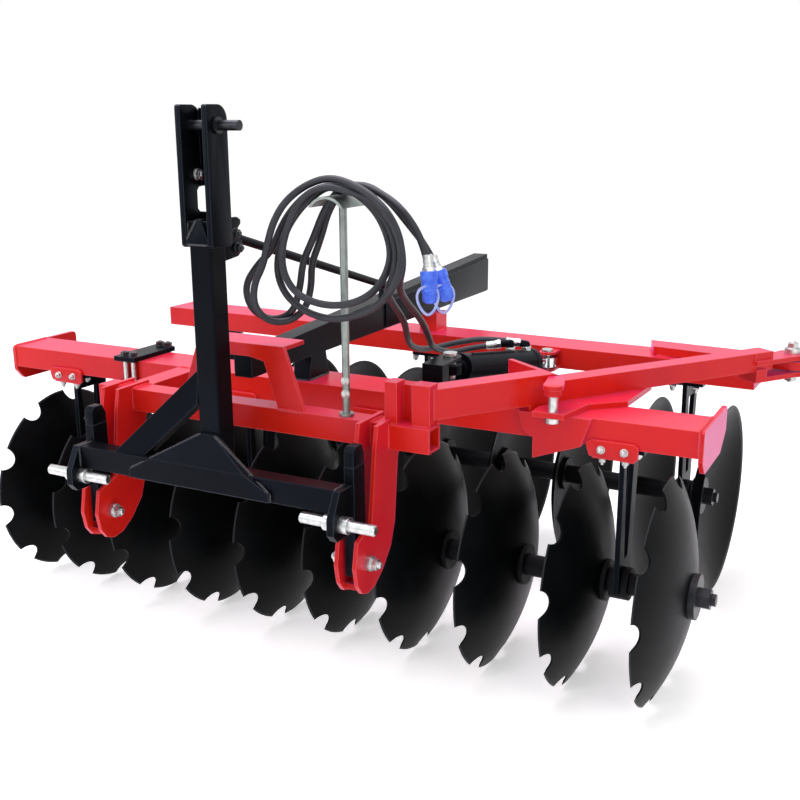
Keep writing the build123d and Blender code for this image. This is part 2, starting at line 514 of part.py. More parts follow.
# Hose stand: a round bar with a saddle on its top, which the coil hangs on
STAND = dict(x=1308.0, y=-309.0, r=10.0, top=1322.0)
SADDLE = dict(z=1270.0, r=56.0, t=7.0, half_w=40.0, y0=-392.0, y1=-287.0)
with BuildPart() as stand:
    rod((STAND["x"], STAND["y"], CROSS["z1"]), (STAND["x"], STAND["y"], STAND["top"]), STAND["r"])
    rod((STAND["x"], SADDLE["y0"], SADDLE["z"]), (STAND["x"], SADDLE["y1"], SADDLE["z"]), SADDLE["r"])
    rod((STAND["x"], SADDLE["y0"], SADDLE["z"]), (STAND["x"], SADDLE["y1"], SADDLE["z"]), SADDLE["r"] - SADDLE["t"], Mode.SUBTRACT)
    low = SADDLE["z"] + sqrt((SADDLE["r"] - SADDLE["t"]) ** 2 - SADDLE["half_w"] ** 2)
    box(STAND["x"] - 80, STAND["x"] + 80, SADDLE["y0"] - 1, SADDLE["y1"] + 1, SADDLE["z"] - 80, low, Mode.SUBTRACT)
    rod((STAND["x"], STAND["y"], CROSS["z1"]), (STAND["x"], STAND["y"], STAND["top"]), STAND["r"])
    rod((STAND["x"], STAND["y"], CROSS["z1"]), (STAND["x"], STAND["y"], CROSS["z1"] + 8), 19)
save(stand.part, "hose_stand")

# Hydraulic cylinder between the two beams, on a ball at its base
BASE = Vector(1395, 140, 802)       # centre of the ball in the barrel's eye
ROD_EYE = Vector(1505, 665, 727)    # centre of the rod's eye
D = (ROD_EYE - BASE).normalized()
CLOSED = (ROD_EYE - BASE).length
BARREL_R, BORE_R, ROD_R = 42.0, 17.0, 16.0
BASE_PIN_R, ROD_PIN_R = 12.0, 11.0
BALL_R, BALL_GAP, BALL_H, EYE_R, EYE_H = 22.0, 0.3, 18.0, 34.0, 14.0
ROD_SLOP = 11.2                     # room round the rod pin, because the linkage is opened there
LUG_GAP, LUG_PLATE = 29.0, 8.0      # half the room between the base lug's plates
ROD_LUG_GAP = 24.0


def upright(centre, radius, half, mode=Mode.ADD):
    """An upright cylinder about a centre, half its height each way."""
    rod(tuple(centre - Vector(0, 0, half)), tuple(centre + Vector(0, 0, half)), radius, mode)


def on_barrel(t, up=0.0):
    """A place on the cylinder's axis, t from the base, and up from it."""
    return BASE + D * t + Vector(0, 0, up)


PORTS = (318.0, 412.0)
HOSE_R = 9.0
ELBOW_UP = 66.0
ELBOW_OUT = (Vector(-0.92, -0.36, -0.1).normalized(), Vector(-0.88, -0.44, 0.16).normalized())
ELBOW_L = (38.0, 30.0)
with BuildPart() as barrel:
    rod(tuple(on_barrel(52)), tuple(on_barrel(440)), BARREL_R)
    rod(tuple(on_barrel(425)), tuple(on_barrel(440)), BARREL_R + 3)
    rod(tuple(on_barrel(20)), tuple(on_barrel(60)), 20)
    upright(BASE, EYE_R, EYE_H)
    rod(tuple(on_barrel(90)), tuple(on_barrel(445)), BORE_R, Mode.SUBTRACT)
    with Locations(Location(BASE)):
        Sphere(BALL_R + BALL_GAP, mode=Mode.SUBTRACT)
    upright(BASE, sqrt((BALL_R + BALL_GAP) ** 2 - EYE_H**2), 40, Mode.SUBTRACT)
    for t, out, l, up in zip(PORTS, ELBOW_OUT, ELBOW_L, (ELBOW_UP, ELBOW_UP - 6)):
        rod(tuple(on_barrel(t, 30)), tuple(on_barrel(t, up)), 11)
        with Locations(Location(on_barrel(t, up))):
            Sphere(11)
        rod(tuple(on_barrel(t, up)), tuple(on_barrel(t, up) + out * l), 11)
    rod(tuple(on_barrel(90, BARREL_R - 3) + Vector(14, 0, 0)), tuple(on_barrel(PORTS[0] - 6, BARREL_R - 3) + Vector(14, 0, 0)), 6)
save(barrel.part, "cylinder_barrel")

with BuildPart() as ball:
    with Locations(Location(BASE)):
        Sphere(BALL_R)
    box(BASE.X - 40, BASE.X + 40, BASE.Y - 40, BASE.Y + 40, BASE.Z - BALL_H, BASE.Z + BALL_H, Mode.INTERSECT)
    upright(BASE, BASE_PIN_R + RUNNING, 40, Mode.SUBTRACT)
save(ball.part, "cylinder_base_ball")

with BuildPart() as piston:
    rod(tuple(on_barrel(120)), tuple(ROD_EYE), ROD_R)
    upright(ROD_EYE, EYE_R, EYE_H + 1)
    upright(ROD_EYE, ROD_PIN_R + ROD_SLOP, 40, Mode.SUBTRACT)
save(piston.part, "cylinder_rod")

with BuildPart() as base_lug:
    for z in (BEAM_TOP, BASE.Z + LUG_GAP):
        with BuildSketch(Plane.XY.offset(z)) as plate:
            with Locations((BASE.X, BASE.Y)):
                Circle(EYE_R - 2)
            with Locations((BASE.X, BASE.Y / 2 + 10)):
                Rectangle(2 * EYE_R - 4, BASE.Y - 20)
        extrude(plate.sketch, amount=LUG_PLATE)
    box(BASE.X - EYE_R + 2, BASE.X + EYE_R - 2, 20, 60, BEAM_TOP + LUG_PLATE, BASE.Z + LUG_GAP)
    upright(BASE, BASE_PIN_R, 60, Mode.SUBTRACT)
save(base_lug.part, "cylinder_base_lug")

IN_REAR = REAR.inverse() * Location(ROD_EYE)
EYE_X, EYE_Y = IN_REAR.position.X, IN_REAR.position.Y
with BuildPart() as rear_lug:
    for z in (ROD_EYE.Z - ROD_LUG_GAP - LUG_PLATE, ROD_EYE.Z + ROD_LUG_GAP):
        with BuildSketch(REAR * Plane.XY.offset(z)) as plate:
            with Locations((EYE_X, EYE_Y)):
                Circle(26)
            with Locations((EYE_X, (EYE_Y + REAR_BEAM_Y - BEAM_D / 2) / 2)):
                Rectangle(52, REAR_BEAM_Y - BEAM_D / 2 - EYE_Y)
        extrude(plate.sketch, amount=LUG_PLATE)
    upright(ROD_EYE, ROD_PIN_R, 60, Mode.SUBTRACT)
save(rear_lug.part, "cylinder_rod_lug")

# Pins and bolts
with BuildPart() as pins:
    rod((*EAR_PIN, 752), (*EAR_PIN, 838), EAR_PIN_R)
    rod((*EAR_PIN, 752), (*EAR_PIN, BEAM_TOP), 20)
    rod((HINGE_X, HINGE_Y, 735), (HINGE_X, HINGE_Y, 828), HINGE_PIN_R)
    rod((HINGE_X, HINGE_Y, CLEVIS_GAP[1] + 14), (HINGE_X, HINGE_Y, 828), 24)
    upright(BASE, BASE_PIN_R, 48)
    rod((BASE.X, BASE.Y, BASE.Z + LUG_GAP + LUG_PLATE), (BASE.X, BASE.Y, BASE.Z + 48), 20)
    rod((BASE.X, BASE.Y, BEAM_TOP + LUG_PLATE), (BASE.X, BASE.Y, BASE.Z - BALL_H - 0.3), 17)
    rod((BASE.X, BASE.Y, BASE.Z + BALL_H + 0.3), (BASE.X, BASE.Y, BASE.Z + LUG_GAP), 17)
    for side in (-1, 1):
        x0, x1 = (MID_X + side * (off + out) for off, out in zip(ARM_OFFSETS, (-ARM_T / 2, ARM_T / 2)))
        rod((x0 - side * 14, *ARM_BOLT), (x1 + side * 14, *ARM_BOLT), ARM_BOLT_R)
        for x, out in ((x0, -side), (x1, side)):
            rod((x, *ARM_BOLT), (x + out * 14, *ARM_BOLT), 20)
    for x in CLAMP["bolts"]:
        for y in (FB_Y0 - CLAMP["off"], FB_Y1 + CLAMP["off"]):
            rod((x, y, BEAM_BOTTOM - CLAMP["plate"] - 12), (x, y, BEAM_TOP + CLAMP["plate"] + 10), CLAMP["bolt_r"])
save(pins.part, "frame_pins")

with BuildPart() as rod_pin:
    upright(ROD_EYE, ROD_PIN_R, ROD_LUG_GAP + LUG_PLATE + 8)
    z = ROD_EYE.Z + ROD_LUG_GAP + LUG_PLATE
    rod((ROD_EYE.X, ROD_EYE.Y, z), (ROD_EYE.X, ROD_EYE.Y, z + 8), 18)
save(rod_pin.part, "cylinder_rod_pin")

# Hoses: the leads from the cylinder's elbows, the coil on its stand, the tails and their capped couplers
COIL_Y, COIL_R = -358.0, 31.0       # plane of the coil, and the radius of the bundle of strands
COIL_RING = ((1322, 1344), (1432, 1292), (1476, 1190), (1440, 1098), (1322, 1060), (1180, 1072), (1152, 1196), (1224, 1306))
LEADS = (
    ((1300, 330, 815), (1305, 225, 830), (1335, 125, 866), (1380, 30, 905), (1425, -100, 985), (1440, -235, 1068), (1462, -345, 1140)),
    ((1280, 420, 822), (1240, 330, 820), (1238, 220, 830), (1270, 100, 865), (1320, -10, 915), (1375, -120, 985), (1402, -235, 1055), (1440, -345, 1098)),
)
CUT_CORNER = (1, 2)                 # corner of the route before the cut
LEAD_OUT = (80.0, 100.0)            # how far each hose runs straight on from its elbow
TAILS = (
    ((1390, COIL_Y, 1322), (1462, COIL_Y, 1318), (1520, COIL_Y, 1272), (1552, COIL_Y, 1215), (1564, COIL_Y, 1172)),
    ((1433, COIL_Y + 21, 1290), (1488, -328, 1252), (1526, -314, 1196), (1545, -312, 1136)),
)
CAPS = (((1564, COIL_Y, 1172), (1572, COIL_Y, 1082)), ((1545, -312, 1136), (1551, -312, 1048)))
CAP_R = 20.0


def radii(points, closed=False):
    """Radius at each corner of a hose's route, as large as the runs beside the corner allow."""
    ends = points[-1:] + points + points[:1] if closed else points
    found = []
    for a, b, c in zip(ends, ends[1:], ends[2:]):
        before, after = Vector(*b) - Vector(*a), Vector(*c) - Vector(*b)
        found.append(0.45 * min(before.length, after.length) / tan(radians(before.get_angle(after)) / 2))
    return found


def hose(points):
    """A hose along straight runs joined by tangent arcs."""
    with BuildPart() as body:
        with BuildLine() as route:
            FilletPolyline(*points, radius=radii(points))
        with BuildSketch(Plane(origin=points[0], z_dir=Vector(*points[1]) - Vector(*points[0]))):
            Circle(HOSE_R)
        sweep(path=route.wires()[0])
    length = route.wires()[0].length
    print("  radii", [round(r) for r in radii(points)], "runs", [round((Vector(*b) - Vector(*a)).length) for a, b in zip(points, points[1:])],
          "length", round(length), "volume over section x length", round(body.part.volume / (pi * HOSE_R**2 * length), 4))
    return body.part


RING = [(x, COIL_Y, z) for x, z in COIL_RING]
with BuildPart() as coil:
    with BuildLine() as ring:
        FilletPolyline(*RING, radius=radii(RING, closed=True), close=True)
    loop = ring.wires()[0]
    with BuildSketch(Plane(origin=loop @ 0, z_dir=loop % 0)):
        Circle(COIL_R)
    sweep(path=loop)
    rod((STAND["x"], SADDLE["y0"] - 1, SADDLE["z"]), (STAND["x"], SADDLE["y1"] + 1, SADDLE["z"]), SADDLE["r"], Mode.SUBTRACT)
save(coil.part, "hose_coil")

# Each lead is cut beside the cylinder's base: the stretch from the elbow moves with the barrel
CUT_GAP, CUT_END = 7.0, 45.0        # room between the two stretches, and how far past the corner the first one ends
for name, t, out, up, l, straight, points, corner in zip("ab", PORTS, ELBOW_OUT, (ELBOW_UP, ELBOW_UP - 6), ELBOW_L, LEAD_OUT, LEADS, CUT_CORNER):
    exit_at = on_barrel(t, up) + out * l
    whole = hose([tuple(exit_at), tuple(exit_at + out * straight), *points])
    at = Vector(*points[corner]) + (Vector(*points[corner + 1]) - Vector(*points[corner])).normalized() * CUT_END
    run = Vector(*points[corner + 1]) - Vector(*points[corner])
    with BuildPart() as knife:
        with BuildSketch(Plane(origin=at, z_dir=run)):
            Circle(40)
        extrude(amount=CUT_GAP)
    with BuildPart() as lead:
        add(whole)
        add(knife.part, mode=Mode.SUBTRACT)
        add(coil.part, mode=Mode.SUBTRACT)
    lower, upper = lead.solids().sort_by(Axis.Z)
    save(lower, f"hose_{name}")
    save(upper, f"hose_{name}_lead")

with BuildPart() as caps:
    for start, end in CAPS:
        rod(start, end, CAP_R)
save(caps.part, "hose_caps")

for name, points in zip("ab", TAILS):
    with BuildPart() as tail:
        add(hose(list(points)))
        add(coil.part, mode=Mode.SUBTRACT)
        add(caps.part, mode=Mode.SUBTRACT)
    save(tail.part, f"hose_{name}_tail")
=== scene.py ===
"""Looks of the mounted disc harrow, in metres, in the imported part's frame."""
from math import cos, pi, radians, sin

import bmesh
import bpy
from mathutils import Matrix, Vector


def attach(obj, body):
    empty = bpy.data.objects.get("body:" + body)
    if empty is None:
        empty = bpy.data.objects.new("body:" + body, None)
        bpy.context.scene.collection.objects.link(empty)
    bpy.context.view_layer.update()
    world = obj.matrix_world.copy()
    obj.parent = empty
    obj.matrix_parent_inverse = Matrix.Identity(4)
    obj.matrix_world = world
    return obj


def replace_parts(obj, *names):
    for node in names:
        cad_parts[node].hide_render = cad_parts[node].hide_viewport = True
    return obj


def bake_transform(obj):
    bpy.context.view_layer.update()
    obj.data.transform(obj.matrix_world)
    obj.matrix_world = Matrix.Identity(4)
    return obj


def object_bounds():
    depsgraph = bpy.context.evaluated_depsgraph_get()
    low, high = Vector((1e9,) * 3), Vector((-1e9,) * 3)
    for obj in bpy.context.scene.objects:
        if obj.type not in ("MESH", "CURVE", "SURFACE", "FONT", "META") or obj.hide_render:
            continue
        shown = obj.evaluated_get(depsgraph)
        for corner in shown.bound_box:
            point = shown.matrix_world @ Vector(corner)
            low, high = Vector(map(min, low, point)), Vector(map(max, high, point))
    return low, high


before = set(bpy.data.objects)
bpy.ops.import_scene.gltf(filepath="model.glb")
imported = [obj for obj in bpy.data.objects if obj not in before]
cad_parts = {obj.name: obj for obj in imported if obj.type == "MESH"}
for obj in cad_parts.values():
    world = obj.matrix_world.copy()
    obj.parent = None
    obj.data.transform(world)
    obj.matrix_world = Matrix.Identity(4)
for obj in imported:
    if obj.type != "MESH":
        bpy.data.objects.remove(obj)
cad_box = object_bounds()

# Camera at the photograph's viewing angle: 27.3 degrees round from the machine's front, 15 degrees above
# level, with the photograph's slight roll. Its place is worked out from the discs' pitch and size.
AZIMUTH, ELEVATION, ROLL = radians(27.32), radians(15.05), radians(-0.31)
CAMERA_AT = (2641, -2590, 1514)
SENSOR_WIDTH, FOCAL_LENGTH = 36.0, 47.88
SEES_AS_FAR_AS = 60.0
MACHINE_MIDDLE = (1080.0, 356.0)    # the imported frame's origin, in part.py's millimetres


def row(x, y, z):
    """A place given in part.py's millimetres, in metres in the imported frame."""
    return Vector(((x - MACHINE_MIDDLE[0]) / 1000.0, (y - MACHINE_MIDDLE[1]) / 1000.0, z / 1000.0))


look = Vector((-sin(AZIMUTH) * cos(ELEVATION), cos(AZIMUTH) * cos(ELEVATION), -sin(ELEVATION)))
level = Vector((cos(AZIMUTH), sin(AZIMUTH), 0.0))
upward = level.cross(look)
side = level * cos(ROLL) + upward * sin(ROLL)
top = upward * cos(ROLL) - level * sin(ROLL)
camera = bpy.data.objects.new("photo_camera", bpy.data.cameras.new("photo_camera"))
bpy.context.scene.collection.objects.link(camera)
turned_to_view = Matrix((side, top, -look)).transposed().to_4x4()
camera.matrix_world = Matrix.Translation(row(*CAMERA_AT)) @ turned_to_view
camera.data.sensor_width = SENSOR_WIDTH
camera.data.lens = FOCAL_LENGTH
camera.data.clip_end = SEES_AS_FAR_AS
bpy.context.scene.camera = camera

# Two hydraulic hoses of black rubber, 18 mm thick. Each is one smooth line from the cylinder's elbow up to
# the stand, in loose loops over its saddle, and out to a capped coupler: a tube swept along a spline.
def rgb(code):
    """Linear colour of an sRGB hex code."""
    parts = [int(code[i:i + 2], 16) / 255.0 for i in (1, 3, 5)]
    return (*[c / 12.92 if c <= 0.04045 else ((c + 0.055) / 1.055) ** 2.4 for c in parts], 1.0)


def node(tree, kind, settings=None, **links):
    """Adds a node, sets its attributes and inputs, and links sockets to its inputs."""
    made = tree.nodes.new(kind)
    for key, value in (settings or {}).items():
        if key in made.inputs:
            made.inputs[key].default_value = value
        else:
            setattr(made, key, value)
    for key, socket in links.items():
        tree.links.new(socket, made.inputs[key.replace("_", " ")])
    return made


def shader_of(material):
    """The material's own surface shader."""
    return material.node_tree.nodes["Principled BSDF"]


GLINT_REACH, SOFT_CORNER = 0.0045, 0.0022   # metres from a corner over which a painted highlight fades in, and that looks round
PEEL_DEPTH = 0.0004


def finish_on(name, light, dark, rough, grain, metal=0.0, peel=0.0, peel_size=2.0,
              rough_spread=0.08, shine=0.5, edges=None, cast="#FFFFFF"):
    """A surface whose colour and gloss drift softly over patches of grain millimetres.

    peel is the strength of a fine relief of peel_size millimetres, edges the colour of a painted highlight
    along corners, and cast a painted tint on what the surface reflects, standing in for the colour of the
    light.
    """
    material = bpy.data.materials.new(name)
    material.use_nodes = True
    tree = material.node_tree
    shader = shader_of(material)
    shader.inputs["Metallic"].default_value = metal
    shader.inputs["Specular IOR Level"].default_value = shine
    shader.inputs["Specular Tint"].default_value = rgb(cast)
    place = node(tree, "ShaderNodeTexCoord").outputs["Object"]
    spots = {"Scale": 1000.0 / grain, "Detail": 5.0, "Roughness": 0.6}
    patches = node(tree, "ShaderNodeTexNoise", spots, Vector=place)
    tone = node(tree, "ShaderNodeValToRGB", Fac=patches.outputs["Fac"])
    tone.color_ramp.elements[0].position, tone.color_ramp.elements[1].position = 0.32, 0.68
    tone.color_ramp.elements[0].color, tone.color_ramp.elements[1].color = rgb(dark), rgb(light)
    tree.links.new(tone.outputs["Color"], shader.inputs["Base Color"])
    # paler colour near corners: a painted highlight where rounded edges would catch the light
    if edges:
        rounded = node(tree, "ShaderNodeBevel", {"samples": 6, "Radius": GLINT_REACH})
        facing = node(tree, "ShaderNodeVectorMath", {"operation": "DOT_PRODUCT"})
        tree.links.new(rounded.outputs["Normal"], facing.inputs[0])
        tree.links.new(node(tree, "ShaderNodeNewGeometry").outputs["True Normal"], facing.inputs[1])
        bend = {"From Min": 0.99, "From Max": 0.78}
        glint_mask = node(tree, "ShaderNodeMapRange", bend, Value=facing.outputs["Value"])
        with_glint = node(tree, "ShaderNodeMix", {"data_type": "RGBA"}, Factor=glint_mask.outputs["Result"])
        tree.links.new(tone.outputs["Color"], with_glint.inputs[6])
        with_glint.inputs[7].default_value = rgb(edges)
        tree.links.new(with_glint.outputs[2], shader.inputs["Base Color"])
    spread = {"To Min": rough - rough_spread, "To Max": rough + rough_spread}
    gloss = node(tree, "ShaderNodeMapRange", spread, Value=patches.outputs["Fac"])
    tree.links.new(gloss.outputs["Result"], shader.inputs["Roughness"])
    if peel:
        fine = node(tree, "ShaderNodeTexNoise", {"Scale": 1000.0 / peel_size, "Detail": 2.0}, Vector=place)
        corner = node(tree, "ShaderNodeBevel", {"samples": 4, "Radius": SOFT_CORNER})
        relief = node(tree, "ShaderNodeBump", {"Strength": peel, "Distance": PEEL_DEPTH},
                      Height=fine.outputs["Fac"], Normal=corner.outputs["Normal"])
        tree.links.new(relief.outputs["Normal"], shader.inputs["Normal"])
    return material


# dark grey rubber with a soft sheen, so that single strands read against each other
hose_rubber = finish_on("hose_rubber", "#33363D", "#23252B", 0.45, 60.0, peel=0.4, peel_size=1.5,
                        shine=0.35)

# control points of the two routes, in part.py's millimetres: traced by hand, then eased by a small
# scratch calculation where bends were too tight or strands touched
ROUTE_A = (
    (1424, 434, 820), (1352, 405, 808), (1320, 321, 806), (1322, 222, 832), (1345, 122, 868),
    (1383, 28, 905), (1423, -100, 985), (1440, -235, 1062), (1479, -346, 1117), (1510, -380, 1170),
    (1506, -385, 1228), (1479, -383, 1279), (1435, -383, 1320), (1373, -382, 1338), (1305, -383, 1351),
    (1240, -383, 1324), (1199, -383, 1262), (1174, -383, 1195), (1176, -383, 1134), (1208, -383, 1088),
    (1262, -383, 1066), (1325, -383, 1062), (1385, -381, 1076), (1429, -372, 1104), (1453, -359, 1144),
    (1461, -347, 1190), (1448, -342, 1238), (1418, -338, 1288), (1370, -342, 1330), (1305, -345, 1352),
    (1238, -345, 1333), (1184, -345, 1290), (1147, -345, 1240), (1120, -345, 1183), (1077, -351, 1144),
    (1036, -353, 1088), (1049, -347, 1025), (1102, -328, 997), (1162, -320, 1022), (1186, -322, 1091),
    (1198, -326, 1156), (1232, -326, 1218), (1262, -322, 1288), (1308, -321, 1343), (1368, -322, 1352),
    (1432, -338, 1332), (1488, -358, 1306), (1528, -358, 1262), (1553, -358, 1214), (1564, -358, 1172),
)
ROUTE_B = (
    (1452, 526, 810), (1364, 482, 826), (1290, 418, 816), (1262, 325, 815), (1262, 218, 830),
    (1290, 98, 866), (1333, -12, 915), (1380, -120, 985), (1404, -235, 1052), (1441, -334, 1097),
    (1474, -364, 1141), (1486, -364, 1193), (1474, -364, 1245), (1444, -364, 1290), (1400, -363, 1322),
    (1360, -363, 1342), (1304, -364, 1351), (1248, -364, 1318), (1204, -364, 1276), (1172, -364, 1228),
    (1149, -364, 1173), (1147, -364, 1120), (1172, -364, 1071), (1226, -364, 1037), (1297, -364, 1023),
    (1368, -364, 1036), (1433, -376, 1066), (1488, -400, 1112), (1516, -406, 1164), (1520, -406, 1218),
    (1502, -406, 1270), (1465, -404, 1314), (1402, -394, 1351), (1309, -367, 1371), (1240, -370, 1350),
    (1192, -390, 1310), (1164, -402, 1260), (1145, -402, 1206), (1130, -402, 1152), (1111, -418, 1106),
    (1104, -411, 1048), (1123, -378, 1006), (1157, -334, 1000), (1187, -298, 1032), (1199, -289, 1090),
    (1210, -304, 1149), (1238, -302, 1212), (1263, -300, 1289), (1308, -299, 1342), (1369, -300, 1351),
    (1432, -306, 1318), (1488, -311, 1262), (1532, -310, 1214), (1558, -304, 1164),
)
HOSE_R = 0.009


def line_of(points):
    """Points along the smooth spline through a route's control points."""
    data = bpy.data.curves.new("route", "CURVE")
    data.dimensions = "3D"
    data.resolution_u = 12
    spline = data.splines.new("NURBS")
    spline.points.add(len(points) - 1)
    for at, point in zip(spline.points, points):
        at.co = (*row(*point), 1.0)
    spline.order_u = 3
    spline.use_endpoint_u = True
    carrier = bpy.data.objects.new("route", data)
    bpy.context.scene.collection.objects.link(carrier)
    bpy.context.view_layer.update()
    mesh = bpy.data.meshes.new_from_object(carrier)
    line = [v.co.copy() for v in mesh.vertices]
    bpy.data.objects.remove(carrier)
    bpy.data.meshes.remove(mesh)
    return line


def circle(bm, middle, across, other, radius, sides):
    """A ring of corners about a middle, in the plane of two directions."""
    turns = (2 * pi * k / sides for k in range(sides))
    return [bm.verts.new(middle + (across * cos(t) + other * sin(t)) * radius) for t in turns]


def close_tube(bm, rings):
    """Faces between each ring and the next, and over both ends."""
    sides = len(rings[0])
    for a, b in zip(rings, rings[1:]):
        for k in range(sides):
            bm.faces.new((a[k], a[(k + 1) % sides], b[(k + 1) % sides], b[k]))
    bm.faces.new(reversed(rings[0]))
    bm.faces.new(rings[-1])


def sweep(bm, line, radius, sides=14):
    """A closed tube along a line of points. radius is a number, or a function of the distance run."""
    run, ring, rings = 0.0, None, []
    ahead = (line[1] - line[0]).normalized()
    across = ahead.orthogonal().normalized()
    for i, point in enumerate(line):
        if i:
            run += (point - line[i - 1]).length
        after = (line[min(i + 1, len(line) - 1)] - line[max(i - 1, 0)]).normalized()
        across = (ahead.rotation_difference(after) @ across).normalized()
        ahead = after
        other = ahead.cross(across)
        size = radius(run) if callable(radius) else radius
        rings.append(circle(bm, point, across, other, size, sides))
    close_tube(bm, rings)


CORNER, CREASE = radians(50), radians(38)    # angles from which an edge is softened, and drawn sharp


def piece(name, build, body, material, soften=0.0):
    """A mesh piece that rides on a body and takes the finish that it is given.

    soften is the width in millimetres that its corners are eased by.
    """
    bm = bmesh.new()
    build(bm)
    bmesh.ops.recalc_face_normals(bm, faces=bm.faces)
    if soften:
        corners = [e for e in bm.edges if len(e.link_faces) == 2 and e.calc_face_angle() > CORNER]
        bmesh.ops.bevel(bm, geom=corners, offset=soften / 1000.0, segments=2, profile=0.6, affect="EDGES")
    mesh = bpy.data.meshes.new(name)
    bm.to_mesh(mesh)
    bm.free()
    mesh.shade_smooth()
    mesh.set_sharp_from_angle(angle=CREASE)
    mesh.materials.append(material)
    made = bpy.data.objects.new(name, mesh)
    bpy.context.scene.collection.objects.link(made)
    if body:
        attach(made, body)
    return made


line_a, line_b = line_of(ROUTE_A), line_of(ROUTE_B)
hose_a = piece("hydraulic_hose_a", lambda bm: sweep(bm, line_a, HOSE_R), None, hose_rubber)
hose_b = piece("hydraulic_hose_b", lambda bm: sweep(bm, line_b, HOSE_R), None, hose_rubber)
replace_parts(hose_a, "hose_a", "hose_a_lead", "hose_a_tail", "hose_coil")
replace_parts(hose_b, "hose_b", "hose_b_lead", "hose_b_tail")
for hose in (hose_a, hose_b):
    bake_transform(hose)

# Couplers and dust caps at the hoses' ends: a crimped sleeve and hexagon in zinc-plated steel, and a ribbed
# blue plastic cap with its strap. Turned shapes, stacked along the hose's last direction.
def turned(bm, at, axis, profile, sides=32):
    """A turned shape, or a prism for few sides, from distances along an axis and radii in millimetres."""
    axis = Vector(axis).normalized()
    across = axis.orthogonal().normalized()
    other = axis.cross(across)
    close_tube(bm, [
        circle(bm, at + axis * (reach / 1000.0), across, other, radius / 1000.0, sides)
        for reach, radius in profile
    ])


# bright bluish zinc plate with a slightly cloudy gloss, as on new fasteners
zinc = finish_on("zinc_plate", "#D9DBD8", "#AEB3B4", 0.32, 14.0, metal=1.0, peel=0.25, peel_size=0.8,
                 rough_spread=0.1)
# moulded polyethylene in a strong blue, a little see-through at the rim
blue_cap = finish_on("blue_cap_plastic", "#5B8CFF", "#2F5BEE", 0.38, 25.0, peel=0.2, peel_size=1.0)
shader_of(blue_cap).inputs["Subsurface Weight"].default_value = 0.25
shader_of(blue_cap).inputs["Subsurface Radius"].default_value = (0.004, 0.006, 0.01)
# milky blue plastic of the moulded straps that keep the caps with the hoses
pale_strap = finish_on("milky_strap_plastic", "#B9C6F2", "#97A9EA", 0.4, 20.0, peel=0.2, peel_size=1.0)

# distances along the hose's end and radii, in millimetres
CRIMPED_SLEEVE = (
    (-26, 11.5), (-24, 12.5), (-19, 12.5), (-18, 11.6), (-14, 11.6), (-13, 12.5), (-8, 12.5), (-7, 11.6),
    (-3, 11.6), (-2, 12.5), (4, 12.5),
)
HEXAGON = ((3, 13), (4, 15.5), (17, 15.5), (18, 13))
LOCKING_RING = ((17, 14), (18, 16), (27, 16), (28, 15), (31, 15), (32, 13))
CAP_SHELL = (
    (12, 18.6), (13, 20.6), (30, 20.6), (31, 19.8), (33, 19.8), (34, 18.4), (40, 18.2), (41, 19), (44, 19),
    (45, 18.2), (50, 18.2), (51, 19), (54, 19), (55, 18.2), (60, 18.0), (61, 18.8), (64, 18.8), (65, 17.6),
    (80, 16.8), (86, 14.8), (89, 9),
)
GRIP_RIB = ((0, 0.6), (1, 1.5), (14, 1.2), (15, 0.5))

# in metres: where the ribs start along the cap and how far they stand from its axis, and the strap's loop
RIB_COUNT, RIBS_FROM, RIBS_OUT = 14, 0.068, 0.0172
STRAP_FROM, STRAP_SHIFT, STRAP_R = 0.066, Vector((0.0, -0.012, -0.014)), 0.0032
STRAP_HALF_WIDTH, STRAP_HALF_HEIGHT, STRAP_TWIST, STRAP_STEPS = 0.024, 0.034, 0.008, 36

# each cap's start at its hose's end, and the place it points at
CAPS = (((1564, -358, 1172), (1570, -358, 1082)), ((1558, -304, 1164), (1588, -298, 1086)))
for letter, (start, end) in zip("ab", CAPS):
    start, end = row(*start), row(*end)
    down = (end - start).normalized()

    def coupler(bm):
        turned(bm, start, down, CRIMPED_SLEEVE, 24)
        turned(bm, start, down, HEXAGON, 6)
        turned(bm, start, down, LOCKING_RING, 32)

    def cap(bm):
        turned(bm, start, down, CAP_SHELL, 40)
        out = down.orthogonal().normalized()
        for k in range(RIB_COUNT):
            turn = 2 * pi * k / RIB_COUNT
            rib = start + down * RIBS_FROM + (out * cos(turn) + down.cross(out) * sin(turn)) * RIBS_OUT
            turned(bm, rib, down, GRIP_RIB, 6)

    def strap(bm):
        middle = start + down * STRAP_FROM + STRAP_SHIFT
        line = []
        for k in range(STRAP_STEPS + 1):
            t = 2 * pi * k / STRAP_STEPS
            aside = level * (STRAP_HALF_WIDTH * sin(t))
            twist = Vector((0.0, STRAP_TWIST * sin(2 * t), STRAP_HALF_HEIGHT * cos(t)))
            line.append(middle + aside + twist)
        sweep(bm, line, STRAP_R, 10)

    made = [
        piece(f"hose_coupler_{letter}", coupler, "frame", zinc),
        piece(f"dust_cap_{letter}", cap, "frame", blue_cap),
        piece(f"cap_strap_{letter}", strap, "frame", pale_strap),
    ]
    for one in made:
        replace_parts(one, "hose_caps")

# Painted and plated finishes of the solids: welded frames in glossy red and black enamel, black discs, cast
# housings, plated pins. Each solid keeps its shape and gets the material of its kind.

# fresh orange-red enamel with painted light on it: a rose sheen and a lilac tint in its reflections, so
# that faces seen at a low angle turn pink as if under a lilac sky, and paler corners that are a painted
# highlight
red_paint = finish_on("red_enamel", "#E4280E", "#D61E0A", 0.3, 260.0, peel=0.5, peel_size=3.5,
                      rough_spread=0.06, shine=0.36, edges="#F4605A", cast="#DCC4FF")
shader_of(red_paint).inputs["Sheen Weight"].default_value = 0.85
shader_of(red_paint).inputs["Sheen Roughness"].default_value = 0.3
shader_of(red_paint).inputs["Sheen Tint"].default_value = rgb("#FF5CE6")
